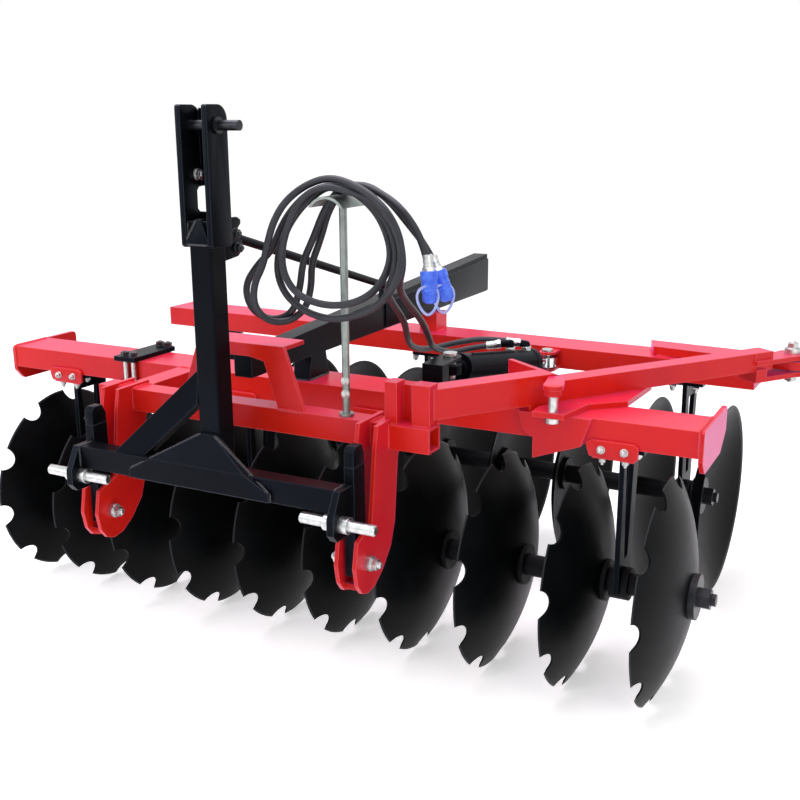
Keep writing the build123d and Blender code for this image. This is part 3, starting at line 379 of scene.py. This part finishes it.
# black satin enamel with a painted highlight of paler grey along the corners of its tubes, and a painted
# bluish tint in its reflections
black_paint = finish_on("black_enamel", "#0E1114", "#08090C", 0.34, 200.0, peel=0.6, peel_size=3.0,
                        shine=0.08, edges="#3E4650", cast="#BFD2FF")
# the same enamel pooled over weld beads and painted nuts, glossier, and painted lighter than the rest as a
# painted highlight, so that they stand out
lit_black_paint = finish_on("black_enamel_lit_on_welds", "#2A2E33", "#1C1F24", 0.26, 30.0, peel=0.5, peel_size=1.5)
# rough dark iron of castings
cast_iron = finish_on("painted_casting", "#15171A", "#0D0E11", 0.5, 40.0, peel=1.0, peel_size=2.5,
                      shine=0.12)
# hard chrome of the piston rod
chrome = finish_on("chromed_rod", "#E4E6E8", "#D2D5D8", 0.1, 80.0, metal=1.0, rough_spread=0.03)
# oiled dark steel of the pin at the mast's head
oiled_steel = finish_on("oiled_pin_steel", "#3A3D41", "#26282B", 0.34, 20.0, metal=0.85, peel=0.3,
                        peel_size=1.0)
# dull galvanised round bar, a little green-grey
galvanised = finish_on("galvanised_bar", "#9BA5A0", "#7F8985", 0.42, 30.0, metal=0.9, peel=0.5,
                       peel_size=1.5)
# blued steel of the bolts that the discs are threaded on
bolt_steel = finish_on("gang_bolt_steel", "#2E3135", "#1E2023", 0.4, 20.0, metal=0.6, peel=0.5,
                       peel_size=1.5)

GROUND_FROM, GROUND_TO = 0.2985, 0.302      # radii between which the paint gives way to the paler ground edge: bare steel, and partly a painted highlight
RING_PITCH = 4.0                            # millimetres between the rings left by rolling


def disc_steel(name, centre, axis):
    """Satin black disc steel about a gang's axle: faint rings from rolling, and a ground edge of bare steel
    and painted highlight.
    """
    material = finish_on(name, "#0D1011", "#070809", 0.36, 120.0, peel=0.35, peel_size=2.0,
                         rough_spread=0.1, shine=0.05)
    tree = material.node_tree
    shader = shader_of(material)
    place = node(tree, "ShaderNodeTexCoord").outputs["Object"]
    from_axle = node(tree, "ShaderNodeVectorMath", {"operation": "CROSS_PRODUCT"})
    shift = node(tree, "ShaderNodeVectorMath", {"operation": "SUBTRACT"})
    tree.links.new(place, shift.inputs[0])
    shift.inputs[1].default_value = centre
    tree.links.new(shift.outputs["Vector"], from_axle.inputs[0])
    from_axle.inputs[1].default_value = axis
    reach = node(tree, "ShaderNodeVectorMath", {"operation": "LENGTH"})
    tree.links.new(from_axle.outputs["Vector"], reach.inputs[0])
    band = {"From Min": GROUND_FROM, "From Max": GROUND_TO}
    edge = node(tree, "ShaderNodeMapRange", band, Value=reach.outputs["Value"])
    bare_and_lit_edge = node(tree, "ShaderNodeMix", {"data_type": "RGBA"}, Factor=edge.outputs["Result"])
    ramp = next(n for n in tree.nodes if n.bl_idname == "ShaderNodeValToRGB")
    tree.links.new(ramp.outputs["Color"], bare_and_lit_edge.inputs[6])
    # paler grey of the ground edge: bare steel, and partly a painted highlight of the light on the bevel
    bare_and_lit_edge.inputs[7].default_value = rgb("#3A3E41")
    tree.links.new(bare_and_lit_edge.outputs[2], shader.inputs["Base Color"])
    rings = node(tree, "ShaderNodeMath", {"operation": "SINE"})
    scaled = node(tree, "ShaderNodeMath", {"operation": "MULTIPLY"})
    tree.links.new(reach.outputs["Value"], scaled.inputs[0])
    scaled.inputs[1].default_value = 2 * pi * 1000.0 / RING_PITCH
    tree.links.new(scaled.outputs["Value"], rings.inputs[0])
    relief = next(n for n in tree.nodes if n.bl_idname == "ShaderNodeBump")
    grooves = node(tree, "ShaderNodeBump", {"Strength": 0.12, "Distance": 0.0003},
                   Height=rings.outputs["Value"], Normal=relief.outputs["Normal"])
    tree.links.new(grooves.outputs["Normal"], shader.inputs["Normal"])
    return material


HINGE = (2255, 735)             # the upright pin that the rear frame swings on
YAW = radians(-1.8)             # the rear frame as parked


def rear(x, y, z):
    """A place given along and across the rear beam from the hinge, in part.py's millimetres."""
    return HINGE[0] + x * cos(YAW) - y * sin(YAW), HINGE[1] + x * sin(YAW) + y * cos(YAW), z


AXLE_HEIGHT, REAR_AXLE_BEHIND = 305, 30
rear_axis = Vector((cos(YAW), sin(YAW), 0.0))
FINISHES = {
    disc_steel("front_disc_steel", row(0, 0, AXLE_HEIGHT), (1.0, 0.0, 0.0)): "front_discs",
    disc_steel("rear_disc_steel", row(*rear(0, REAR_AXLE_BEHIND, AXLE_HEIGHT)), rear_axis): "rear_discs",
    red_paint: "front_beam front_beam_end_plates cross_tube spacer_tube drop_arms arch_bracket "
               "strut_bracket apex_strut apex_bracket apex_link rear_beam rear_arm beam_guide "
               "cylinder_rod_lug",
    cast_iron: "front_spools rear_spools front_bearings rear_bearings",
    bolt_steel: "front_gang_bolt rear_gang_bolt",
    zinc: "lower_link_pins frame_pins cylinder_rod_pin cylinder_base_ball",
    oiled_steel: "top_link_pin",
    galvanised: "hose_stand",
    chrome: "cylinder_rod",
}
chosen = {name: material for material, names in FINISHES.items() for name in names.split()}
for name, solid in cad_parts.items():
    for held in solid.material_slots:
        held.material = chosen.get(name, black_paint)

# Head of the mast: two cheek plates and a rear web with a window, flame-cut from black-painted plate and
# welded to the mast, with a small gusset in front. It replaces the plainer solid, with the same pin holes.
def plate(bm, across, near, far, outline, holes=()):
    """A flat plate between two planes across an axis, from its outline and holes in millimetres."""
    def at(u, v, w):
        return row(*{"x": (w, u, v), "y": (u, w, v), "z": (u, v, w)}[across])

    loops = (outline, *holes)
    rims = [[[bm.verts.new(at(u, v, w)) for u, v in loop] for loop in loops] for w in (near, far)]
    for rim in rims:
        edges = [bm.edges.new(pair) for loop in rim for pair in zip(loop, loop[1:] + loop[:1])]
        bmesh.ops.triangle_fill(bm, use_beauty=True, use_dissolve=False, edges=edges)
    for low, high in zip(*rims):
        for k in range(len(low)):
            n = (k + 1) % len(low)
            bm.faces.new((low[k], low[n], high[n], high[k]))


def arc(u, v, radius, first=0.0, last=360.0, steps=24):
    """Points of an arc between two angles in degrees."""
    turns = [radians(first + (last - first) * k / steps) for k in range(steps + (last - first < 360.0))]
    return [(u + radius * cos(t), v + radius * sin(t)) for t in turns]


RIPPLE_PITCH, RIPPLE_STEP = 0.0056, 0.0016      # metres between a bead's ripples, and between its rings


def bead(bm, start, end, size=3.6):
    """A rippled weld bead along a corner, between two places in millimetres."""
    start, end = row(*start), row(*end)
    length = (end - start).length
    count = max(int(length / RIPPLE_STEP), 6)

    def thickness(run):
        ripple = 1.0 + 0.16 * sin(2 * pi * run / RIPPLE_PITCH)
        tapered = min(1.0, 0.35 + 90.0 * min(run, length - run))
        return size / 1000.0 * ripple * tapered

    sweep(bm, [start.lerp(end, k / count) for k in range(count + 1)], thickness, 8)


def bolt(bm, place, axis, r, thread=2.2):
    """A washer, a hexagon nut and the end of a bolt of radius r, standing on a face at place.

    Sizes are in millimetres. thread is how far the bolt's end reaches, in radii.
    """
    washer = ((-0.5, 1.9 * r), (2.0, 2.0 * r), (2.5, 1.9 * r))
    nut = ((2.0, 1.5 * r), (3.2, 1.73 * r), (2.2 + 1.5 * r, 1.73 * r), (3.0 + 1.5 * r, 1.45 * r))
    tip = ((2.5 + 1.5 * r, 0.95 * r), (2.5 + thread * r, 0.95 * r), (3.0 + (thread + 0.25) * r, 0.6 * r))
    for profile, sides in ((washer, 24), (nut, 6), (tip, 16)):
        turned(bm, row(*place), axis, profile, sides)


MAST_X = (968, 1032)            # the mast's two sides, and the cheeks' inner faces
CHEEK_T = 15
HEAD_FRONT, HEAD_REAR, MAST_FACE = -491, -410, -483
PIN_HOLE = arc(-451, 1490, 12.6)
CHEEK = [
    (-486, 1199), (-416, 1199), (HEAD_REAR, 1205), *arc(-446, 1503, 36, 0, 90, 10),
    (-486, 1539), (-491, 1536), (-492, 1530), (-492, 1205),
]
NOTCH = [(HEAD_REAR, 1280), (-430, 1282), (-438, 1290), (-438, 1334), (-430, 1342), (HEAD_REAR, 1344)]
UPPER_WEB = [
    (968, 1344), (1032, 1344), (1032, 1531), (1022, 1531),
    (1011, 1523), (989, 1523), (978, 1531), (968, 1531),
]
LOWER_WEB = [(968, 1263), (1032, 1263), (1032, 1280), (968, 1280)]
HEAD_GUSSET = [(968, 1204), (1032, 1204), (1032, 1215), (1012, 1269), (1000, 1269), (968, 1217)]
WEB_FRONT = -420
HEAD_BOLT = (-436, 1373)


def mast_head(bm):
    left, right = MAST_X
    plate(bm, "x", right, right + CHEEK_T, CHEEK, [PIN_HOLE])
    plate(bm, "x", left - CHEEK_T, left, [*CHEEK[:3], *NOTCH, *CHEEK[3:]], [PIN_HOLE])
    for web in (UPPER_WEB, LOWER_WEB):
        plate(bm, "y", WEB_FRONT, HEAD_REAR, web)
    plate(bm, "y", HEAD_FRONT, MAST_FACE, HEAD_GUSSET)


def mast_welds(bm):
    bead(bm, (968, HEAD_FRONT, 1217), (1001, HEAD_FRONT, 1268), 3.2)
    bead(bm, (968, HEAD_FRONT, 1206), (1032, HEAD_FRONT, 1206), 3.2)
    for x in MAST_X:
        bead(bm, (x, MAST_FACE, 1199), (x, MAST_FACE, 1262))
        bead(bm, (x, -419, 1199), (x, -419, 1262))
        bead(bm, (x, HEAD_REAR, 1348), (x, HEAD_REAR, 1520), 3.0)


def mast_bolt(bm):
    left = MAST_X[0]
    bolt(bm, (left, *HEAD_BOLT), (1, 0, 0), 8, 1.9)
    bolt(bm, (left - CHEEK_T, *HEAD_BOLT), (-1, 0, 0), 8, 1.9)


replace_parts(piece("mast_head", mast_head, "frame", black_paint, 1.2), "top_link_cheeks")
# the beads take the lighter copy of the black enamel, a painted highlight
piece("mast_welds", mast_welds, "frame", lit_black_paint)
piece("mast_bolt", mast_bolt, "frame", zinc)

# Ears welded behind the mast that hold the tie rod's flat end between them: black plate, with two bolts
# through all three, painted over with the rest.
EAR_T, EARS_X = 9, (978, 1013)
EAR_BOLTS = ((-366, 1224), (-358, 1186))
EAR = [
    (-410, 1158), (-354, 1164), (-334, 1178), (-334, 1200), (-350, 1214),
    (-350, 1236), (-338, 1246), (-338, 1256), (-352, 1264), (-410, 1264),
]


def tie_rod_ears(bm):
    for x in EARS_X:
        plate(bm, "x", x, x + EAR_T, EAR)


def ear_bolts(bm):
    for y, z in EAR_BOLTS:
        bolt(bm, (EARS_X[1] + EAR_T, y, z), (1, 0, 0), 7)
        bolt(bm, (EARS_X[0], y, z), (-1, 0, 0), 7)
        turned(bm, row(EARS_X[0] + EAR_T, y, z), (1, 0, 0), ((0, 7), (26, 7)), 20)


piece("tie_rod_ears", tie_rod_ears, "frame", black_paint, 1.2)
# the bolts take the lighter copy of the black enamel, a painted highlight
piece("tie_rod_bolts", ear_bolts, "frame", lit_black_paint)

# Tops of the two black uprights, chamfered bar ends that stand up between the drop arms' plates, and the
# plated nuts on the bolts that go through the arms' lower ends.
ARMS_X = ((614, 562), (1386, 1438))     # inner and outer plate of each pair
ARM_BOLT, ARM_BOLT_OUT = (-452, 437), 19.5
UPRIGHTS_X, UPRIGHT_HALF = (588, 1412), 13.4
UPRIGHT_TOP = [(-483, 690), (-428, 690), (-428, 716), (-441, 741), (-471, 741), (-483, 731)]


def upright_tops(bm):
    for x in UPRIGHTS_X:
        plate(bm, "x", x - UPRIGHT_HALF, x + UPRIGHT_HALF, UPRIGHT_TOP)


def arm_nuts(bm):
    for inner, outer in ARMS_X:
        out = 1 if outer > inner else -1
        bolt(bm, (outer + out * ARM_BOLT_OUT, *ARM_BOLT), (out, 0, 0), 9)
        bolt(bm, (inner - out * ARM_BOLT_OUT, *ARM_BOLT), (-out, 0, 0), 9)


piece("upright_tops", upright_tops, "frame", black_paint, 2.0)
piece("arm_nuts", arm_nuts, "frame", zinc)

# Saddle plates that hook over the front beam's lower edge at each hanger: red plate with two bolts in
# front, and the zinc-plated studs and nuts that hold the hanger below.
HANGERS_X = (125, 815, 1275, 1965)
SADDLE_FACE, SADDLE_BACK = -69, -60.2
LIP_BOTTOM, LIP_TOP = 662, 671
SADDLE_BOLTS = (-53, 7)                 # to the sides of the hanger's plate
HANGER_STUDS_X, HANGER_STUDS_Y = (-36, 36), (-36, 66)
FOOT_PLATE = 683                        # underside that the hangers' nuts bear on


def saddles(bm):
    for x in HANGERS_X:
        plate(bm, "y", SADDLE_FACE, SADDLE_BACK, [
            (x - 92, 690), (x - 84, 668), (x + 30, 662), (x + 42, 672),
            (x + 42, 704), (x + 30, 712), (x - 80, 712), (x - 92, 704),
        ])
        plate(bm, "z", LIP_BOTTOM, LIP_TOP, [(x - 78, -64), (x + 26, -64), (x + 20, -44), (x - 70, -44)])


def saddle_bolts(bm):
    for x in HANGERS_X:
        for side in SADDLE_BOLTS:
            bolt(bm, (x + side, SADDLE_FACE, 688), (0, -1, 0), 5.5)
            bolt(bm, (x + side, -54, LIP_BOTTOM), (0, 0, -1), 5.5, 2.6)


def hanger_nuts(bm):
    for x in HANGERS_X:
        for side in HANGER_STUDS_X:
            for y in HANGER_STUDS_Y:
                bolt(bm, (x + side, y, FOOT_PLATE), (0, 0, -1), 6.0)


piece("hanger_saddles", saddles, "frame", red_paint, 1.2)
piece("saddle_bolts", saddle_bolts, "frame", zinc)
piece("front_hanger_nuts", hanger_nuts, "frame", zinc)

# Nuts of the three rear hangers, zinc plated, on studs that come down through their foot plates. They turn
# with the rear frame, as its beam does.
REAR_HANGERS_X, REAR_STUDS_Y = (-305, -1225, -2145), (-50, 50)


def rear_nuts(bm):
    for x in REAR_HANGERS_X:
        for side in HANGER_STUDS_X:
            for y in REAR_STUDS_Y:
                bolt(bm, rear(x + side, y, FOOT_PLATE), (0, 0, -1), 6.0)


piece("rear_hanger_nuts", rear_nuts, "rear_frame", zinc)

# Nuts of the clamp towards the front beam's left end, on four long bolts before and behind the beam, above
# and below the clamp's two plates. They are painted black with the plates.
CLAMP_BOLTS_X, CLAMP_BOLTS_Y = (363, 395), (-70, 100)
CLAMP_TOP, CLAMP_BOTTOM = 780, 680


def clamp_nuts(bm):
    for x in CLAMP_BOLTS_X:
        for y in CLAMP_BOLTS_Y:
            bolt(bm, (x, y, CLAMP_TOP), (0, 0, 1), 8, 1.6)
            bolt(bm, (x, y, CLAMP_BOTTOM), (0, 0, -1), 8, 1.9)


# the nuts take the lighter copy of the black enamel, a painted highlight
piece("clamp_nuts", clamp_nuts, "frame", lit_black_paint)

# Bright plated nuts: two at the foot of the hose stand's round bar, one above the other, and one at each
# end of the pin that the rear frame swings on.
STAND_NUTS, STAND_NUTS_Z = (1311, -318.5), (858, 824)
HINGE_BOTTOM, HINGE_TOP = 748, 827


def small_nuts(bm):
    for z in STAND_NUTS_Z:
        bolt(bm, (*STAND_NUTS, z), (0.35, -1, 0), 5.5)
    bolt(bm, (*HINGE, HINGE_BOTTOM), (0, 0, -1), 11, 1.8)
    bolt(bm, (*HINGE, HINGE_TOP), (0, 0, 1), 10, 1.7)


piece("stand_and_hinge_nuts", small_nuts, "frame", zinc)

# Upper ear over the upright pin where the strut's flange comes down on the front beam: plate with a
# rounded nose round the pin and a turned boss below it, in the frame's red enamel.
UPPER_PIN = (1790, -96.5)
UPPER_EAR = [(1744, 2), (1776, 6), (1800, -40), *arc(*UPPER_PIN, 26, 20, -160, 14), (1758, -60)]
BOSS_BOTTOM, EAR_BOTTOM, EAR_TOP = 822, 839, 852


def upper_ear(bm):
    plate(bm, "z", EAR_BOTTOM, EAR_TOP, UPPER_EAR)
    turned(bm, row(*UPPER_PIN, BOSS_BOTTOM), (0, 0, 1), ((0, 19), (1.5, 21), (17, 21)), 32)


piece("upper_ear", upper_ear, "frame", red_paint, 1.2)

# Side plate welded along the rear half of the long beam, black as the beam is. It stops 17 mm short of the
# beam's rising top, so that its upper edge catches the light.
BEAM_FRONT, BEAM_REAR, BEAM_SIDE = -325, 1286, 1028
BEAM_TOP_IN_FRONT, RISE = 897, 0.0524
PLATE_FROM, PLATE_T, PLATE_BOTTOM, PLATE_BELOW_TOP = 430, 5.5, 840, 17


def plate_top(y):
    """Height of the side plate's upper edge at a place along the beam."""
    return BEAM_TOP_IN_FRONT + RISE * (y - BEAM_FRONT) - PLATE_BELOW_TOP


def side_plate(bm):
    bottom = [(y, PLATE_BOTTOM) for y in (PLATE_FROM, BEAM_REAR)]
    upper = [(y, plate_top(y)) for y in (BEAM_REAR, PLATE_FROM)]
    plate(bm, "x", BEAM_SIDE, BEAM_SIDE + PLATE_T, bottom + upper)


piece("beam_side_plate", side_plate, "frame", black_paint, 1.0)

# Weld beads of the front frame, of the black hitch frame and of the rear frame: rippled fillets where
# plates and tubes meet, painted over with the rest.
TUBE_FRONT, TUBE_REAR, TUBE_TOP = -336, -272, 764       # the cross tube
BEAM_NEAR, BEAM_FAR, ON_BEAM = -60, 90, 765             # the front beam, and beads that lie on it
TUBE_LOW, TUBE_HIGH = 702, 762                          # beads that stand against the cross tube
BEAM_LOW, BEAM_HIGH = 697, 763                          # beads that stand against the beam's ends
ARM_HALF_T = 5.5
ARCH_FEET = ((803, 885), (1115, 1197))
BRACKET_POSTS = ((1426, 1460), (1502, 1551))
BEAM_ENDS_X = (-128, 2153)
SPACER_X = (568, 638)
MIDDLE_X = 1000                                         # centre plane of the hitch
LOWER_FACE, LOWER_EDGE = -538, 588                      # the lower beam's front, and beads at its bottom
LINK_WAY, LINK_SIDES = (0.582, 0.813), (-30, 30)        # the way that the apex link runs to the hinge


def beside_link(back, left):
    """A place beside the apex link's centre line, a distance back from the hinge."""
    across, along = LINK_WAY
    return HINGE[0] - across * back - along * left, HINGE[1] - along * back + across * left


def red_welds(bm):
    for pair in ARMS_X:
        for x in pair:
            for side in (-ARM_HALF_T, ARM_HALF_T):
                bead(bm, (x + side, TUBE_FRONT, TUBE_LOW), (x + side, TUBE_FRONT, TUBE_HIGH))
                bead(bm, (x + side, TUBE_FRONT + 2, TUBE_TOP), (x + side, TUBE_REAR - 2, TUBE_TOP))
    for feet, near, far in ((ARCH_FEET, -337, -325), (BRACKET_POSTS, -322, -276)):
        for x0, x1 in feet:
            bead(bm, (x0, near, TUBE_TOP), (x1, near, TUBE_TOP), 4.2)
            bead(bm, (x0, far, TUBE_TOP), (x1, far, TUBE_TOP), 4.2)
    for x in BEAM_ENDS_X:
        bead(bm, (x, BEAM_NEAR + 2, ON_BEAM), (x, BEAM_FAR - 2, ON_BEAM), 4.2)
        for y in (BEAM_NEAR, BEAM_FAR):
            bead(bm, (x, y, BEAM_LOW), (x, y, BEAM_HIGH), 4.2)
    for x in SPACER_X:
        for y in (TUBE_REAR, BEAM_NEAR):
            bead(bm, (x, y, TUBE_LOW), (x, y, TUBE_HIGH))
            bead(bm, (sum(SPACER_X) / 2, y, TUBE_TOP), (x, y, TUBE_TOP))
    for back, low, high in ((877, 781, 834), (891, 780, 856), (180, 812, 834)):
        for left in LINK_SIDES:
            x, y = beside_link(back, left)
            bead(bm, (x, y, low), (x, y, high))


def black_welds(bm):
    bead(bm, (782, LOWER_FACE, LOWER_EDGE), (1218, LOWER_FACE, LOWER_EDGE), 3.2)
    for side in (-1, 1):
        gusset, lug, saddle = (MIDDLE_X + side * out for out in (220, 401, 28))
        bead(bm, (gusset, -541, LOWER_EDGE), (gusset, -541, 612), 4.0)
        bead(bm, (gusset, -545, 612), (MIDDLE_X + side * 20, -492, 721), 5.0)
        bead(bm, (lug, -536, 646), (lug, -486, 646), 4.0)
        bead(bm, (lug, LOWER_FACE, LOWER_EDGE), (lug, LOWER_FACE, 644), 4.0)
        bead(bm, (saddle, -38, ON_BEAM), (saddle, 68, ON_BEAM), 4.2)
    for y in (-40, 70):
        bead(bm, (974, y, ON_BEAM), (1026, y, ON_BEAM), 4.2)
    bead(bm, (BEAM_SIDE, 440, plate_top(440)), (BEAM_SIDE, 1280, plate_top(1280)), 2.2)


def rear_welds(bm):
    for y in (-10, 70):
        bead(bm, rear(-408, y, ON_BEAM), rear(-152, y, ON_BEAM), 4.2)
    for x in (-1270, -1204):
        bead(bm, rear(x, 2, ON_BEAM), rear(x, 78, ON_BEAM), 4.2)


piece("frame_welds", red_welds, "frame", red_paint)
# the hitch beads take the lighter copy of the black enamel, a painted highlight
piece("hitch_welds", black_welds, "frame", lit_black_paint)
piece("rear_welds", rear_welds, "rear_frame", red_paint)

# Fittings of the hydraulic cylinder: its cast and painted gland, and in zinc-plated steel, turned and
# pressed, the hexagons under its elbows and the crimped ferrules that join the hoses to them.
BASE_BALL = (1395, 140, 802)
BARREL = Vector((110, 525, -75)).normalized()
GLAND_AT, PORTS, PORT_UP = 439, (318, 412), 40
GLAND = ((0, 39), (1.5, 41), (9, 41), (10.5, 38), (11, 30), (17, 29), (18.5, 26), (19, 18.5))
PORT_HEXAGON = ((0, 14.5), (1.5, 16.5), (12, 16.5), (13.5, 14.5))
FERRULE_HEXAGON = ((-9, 13.0), (-8, 14.8), (3, 14.8), (4, 13.0))
FERRULE = (
    (3, 12.2), (4, 13.2), (11, 13.2), (12, 12.0), (15, 12.0), (16, 13.2),
    (23, 13.2), (24, 12.0), (27, 12.0), (28, 13.2), (36, 12.8), (38, 10.4),
)


def on_barrel(t, up=0.0):
    """A place on the cylinder's axis, in millimetres from the base ball and up from the axis."""
    return BASE_BALL[0] + BARREL.x * t, BASE_BALL[1] + BARREL.y * t, BASE_BALL[2] + BARREL.z * t + up


def gland(bm):
    turned(bm, row(*on_barrel(GLAND_AT)), BARREL, GLAND, 48)


def fittings(bm):
    for t in PORTS:
        turned(bm, row(*on_barrel(t, PORT_UP)), (0, 0, 1), PORT_HEXAGON, 6)
    for route in (ROUTE_A, ROUTE_B):
        start = row(*route[0])
        run = (row(*route[1]) - start).normalized()
        turned(bm, start, run, FERRULE_HEXAGON, 6)
        turned(bm, start, run, FERRULE, 28)


piece("cylinder_gland", gland, "cylinder_barrel", cast_iron)
piece("cylinder_fittings", fittings, "cylinder_barrel", zinc)

# Plain pale floor of matt board, flat under the discs. It shows as white where the camera or a gloss sees
# it, and keeps the machine's shadow.
FLOOR_HALF, FLOOR_GLOW = 30, 0.5
floor = bpy.data.objects.new("floor", bpy.data.meshes.new("floor"))
corners = [(x * FLOOR_HALF, y * FLOOR_HALF, 0) for x, y in ((-1, -1), (1, -1), (1, 1), (-1, 1))]
floor.data.from_pydata(corners, [], [(0, 1, 2, 3)])
floor.location.z = cad_box[0][2]
bpy.context.scene.collection.objects.link(floor)
# white painted board, matt, with hardly any drift in its tone
pale_floor = finish_on("pale_floor", "#FCFCFC", "#F8F8F8", 0.7, 900.0)
tree = pale_floor.node_tree
seen = node(tree, "ShaderNodeLightPath")
straight = node(tree, "ShaderNodeMath", {"operation": "MAXIMUM"})
tree.links.new(seen.outputs["Is Camera Ray"], straight.inputs[0])
tree.links.new(seen.outputs["Is Glossy Ray"], straight.inputs[1])
glow = node(tree, "ShaderNodeMath", {"operation": "MULTIPLY"})
tree.links.new(straight.outputs["Value"], glow.inputs[0])
glow.inputs[1].default_value = FLOOR_GLOW
shader_of(pale_floor).inputs["Emission Color"].default_value = (1.0, 1.0, 1.0, 1.0)
tree.links.new(glow.outputs["Value"], shader_of(pale_floor).inputs["Emission Strength"])
floor.data.materials.append(pale_floor)

# Soft studio light: a pale sky that is white to the camera and in gloss, a broad lamp overhead with a faint
# rose cast, and two weaker ones in front.
SKY_STRENGTH = 0.62
world = bpy.data.worlds.new("studio")
bpy.context.scene.world = world
world.use_nodes = True
tree = world.node_tree
tree.nodes.clear()
direction = node(tree, "ShaderNodeTexCoord").outputs["Generated"]
height = node(tree, "ShaderNodeSeparateXYZ", Vector=direction)
sky = node(tree, "ShaderNodeValToRGB", Fac=height.outputs["Z"])
sky.color_ramp.elements[0].position, sky.color_ramp.elements[1].position = 0.0, 0.75
sky.color_ramp.elements[0].color, sky.color_ramp.elements[1].color = rgb("#9FA3AC"), rgb("#FFFFFF")
soft = node(tree, "ShaderNodeBackground", {"Strength": SKY_STRENGTH}, Color=sky.outputs["Color"])
white = node(tree, "ShaderNodeBackground", {"Strength": 1.0, "Color": (1.0, 1.0, 1.0, 1.0)})
seen = node(tree, "ShaderNodeLightPath")
direct = node(tree, "ShaderNodeMath", {"operation": "MAXIMUM"})
tree.links.new(seen.outputs["Is Camera Ray"], direct.inputs[0])
tree.links.new(seen.outputs["Is Glossy Ray"], direct.inputs[1])
shown = node(tree, "ShaderNodeMixShader", Fac=direct.outputs["Value"])
tree.links.new(soft.outputs["Background"], shown.inputs[1])
tree.links.new(white.outputs["Background"], shown.inputs[2])
node(tree, "ShaderNodeOutputWorld", Surface=shown.outputs["Shader"])

# name, place, what it points at, width, power, colour
LAMPS = (
    ("overhead", (-0.4, 0.0, 3.8), (0.0, 0.2, 0.6), 4.2, 150.0, "#FBEFFF"),
    ("front_left", (-2.8, -3.6, 2.4), (0.0, 0.0, 0.6), 2.2, 42.0, "#FFFFFF"),
    ("front_right", (3.4, -2.6, 1.8), (0.2, 0.0, 0.6), 1.8, 24.0, "#FFFAF4"),
)
for name, place, aim, size, power, tint in LAMPS:
    lamp = bpy.data.lights.new(name, "AREA")
    lamp.shape, lamp.size, lamp.energy, lamp.color = "DISK", size, power, rgb(tint)[:3]
    holder = bpy.data.objects.new(name, lamp)
    holder.location = place
    holder.rotation_euler = (Vector(aim) - Vector(place)).to_track_quat("-Z", "Y").to_euler()
    bpy.context.scene.collection.objects.link(holder)
bpy.context.scene.view_settings.view_transform = "Standard"
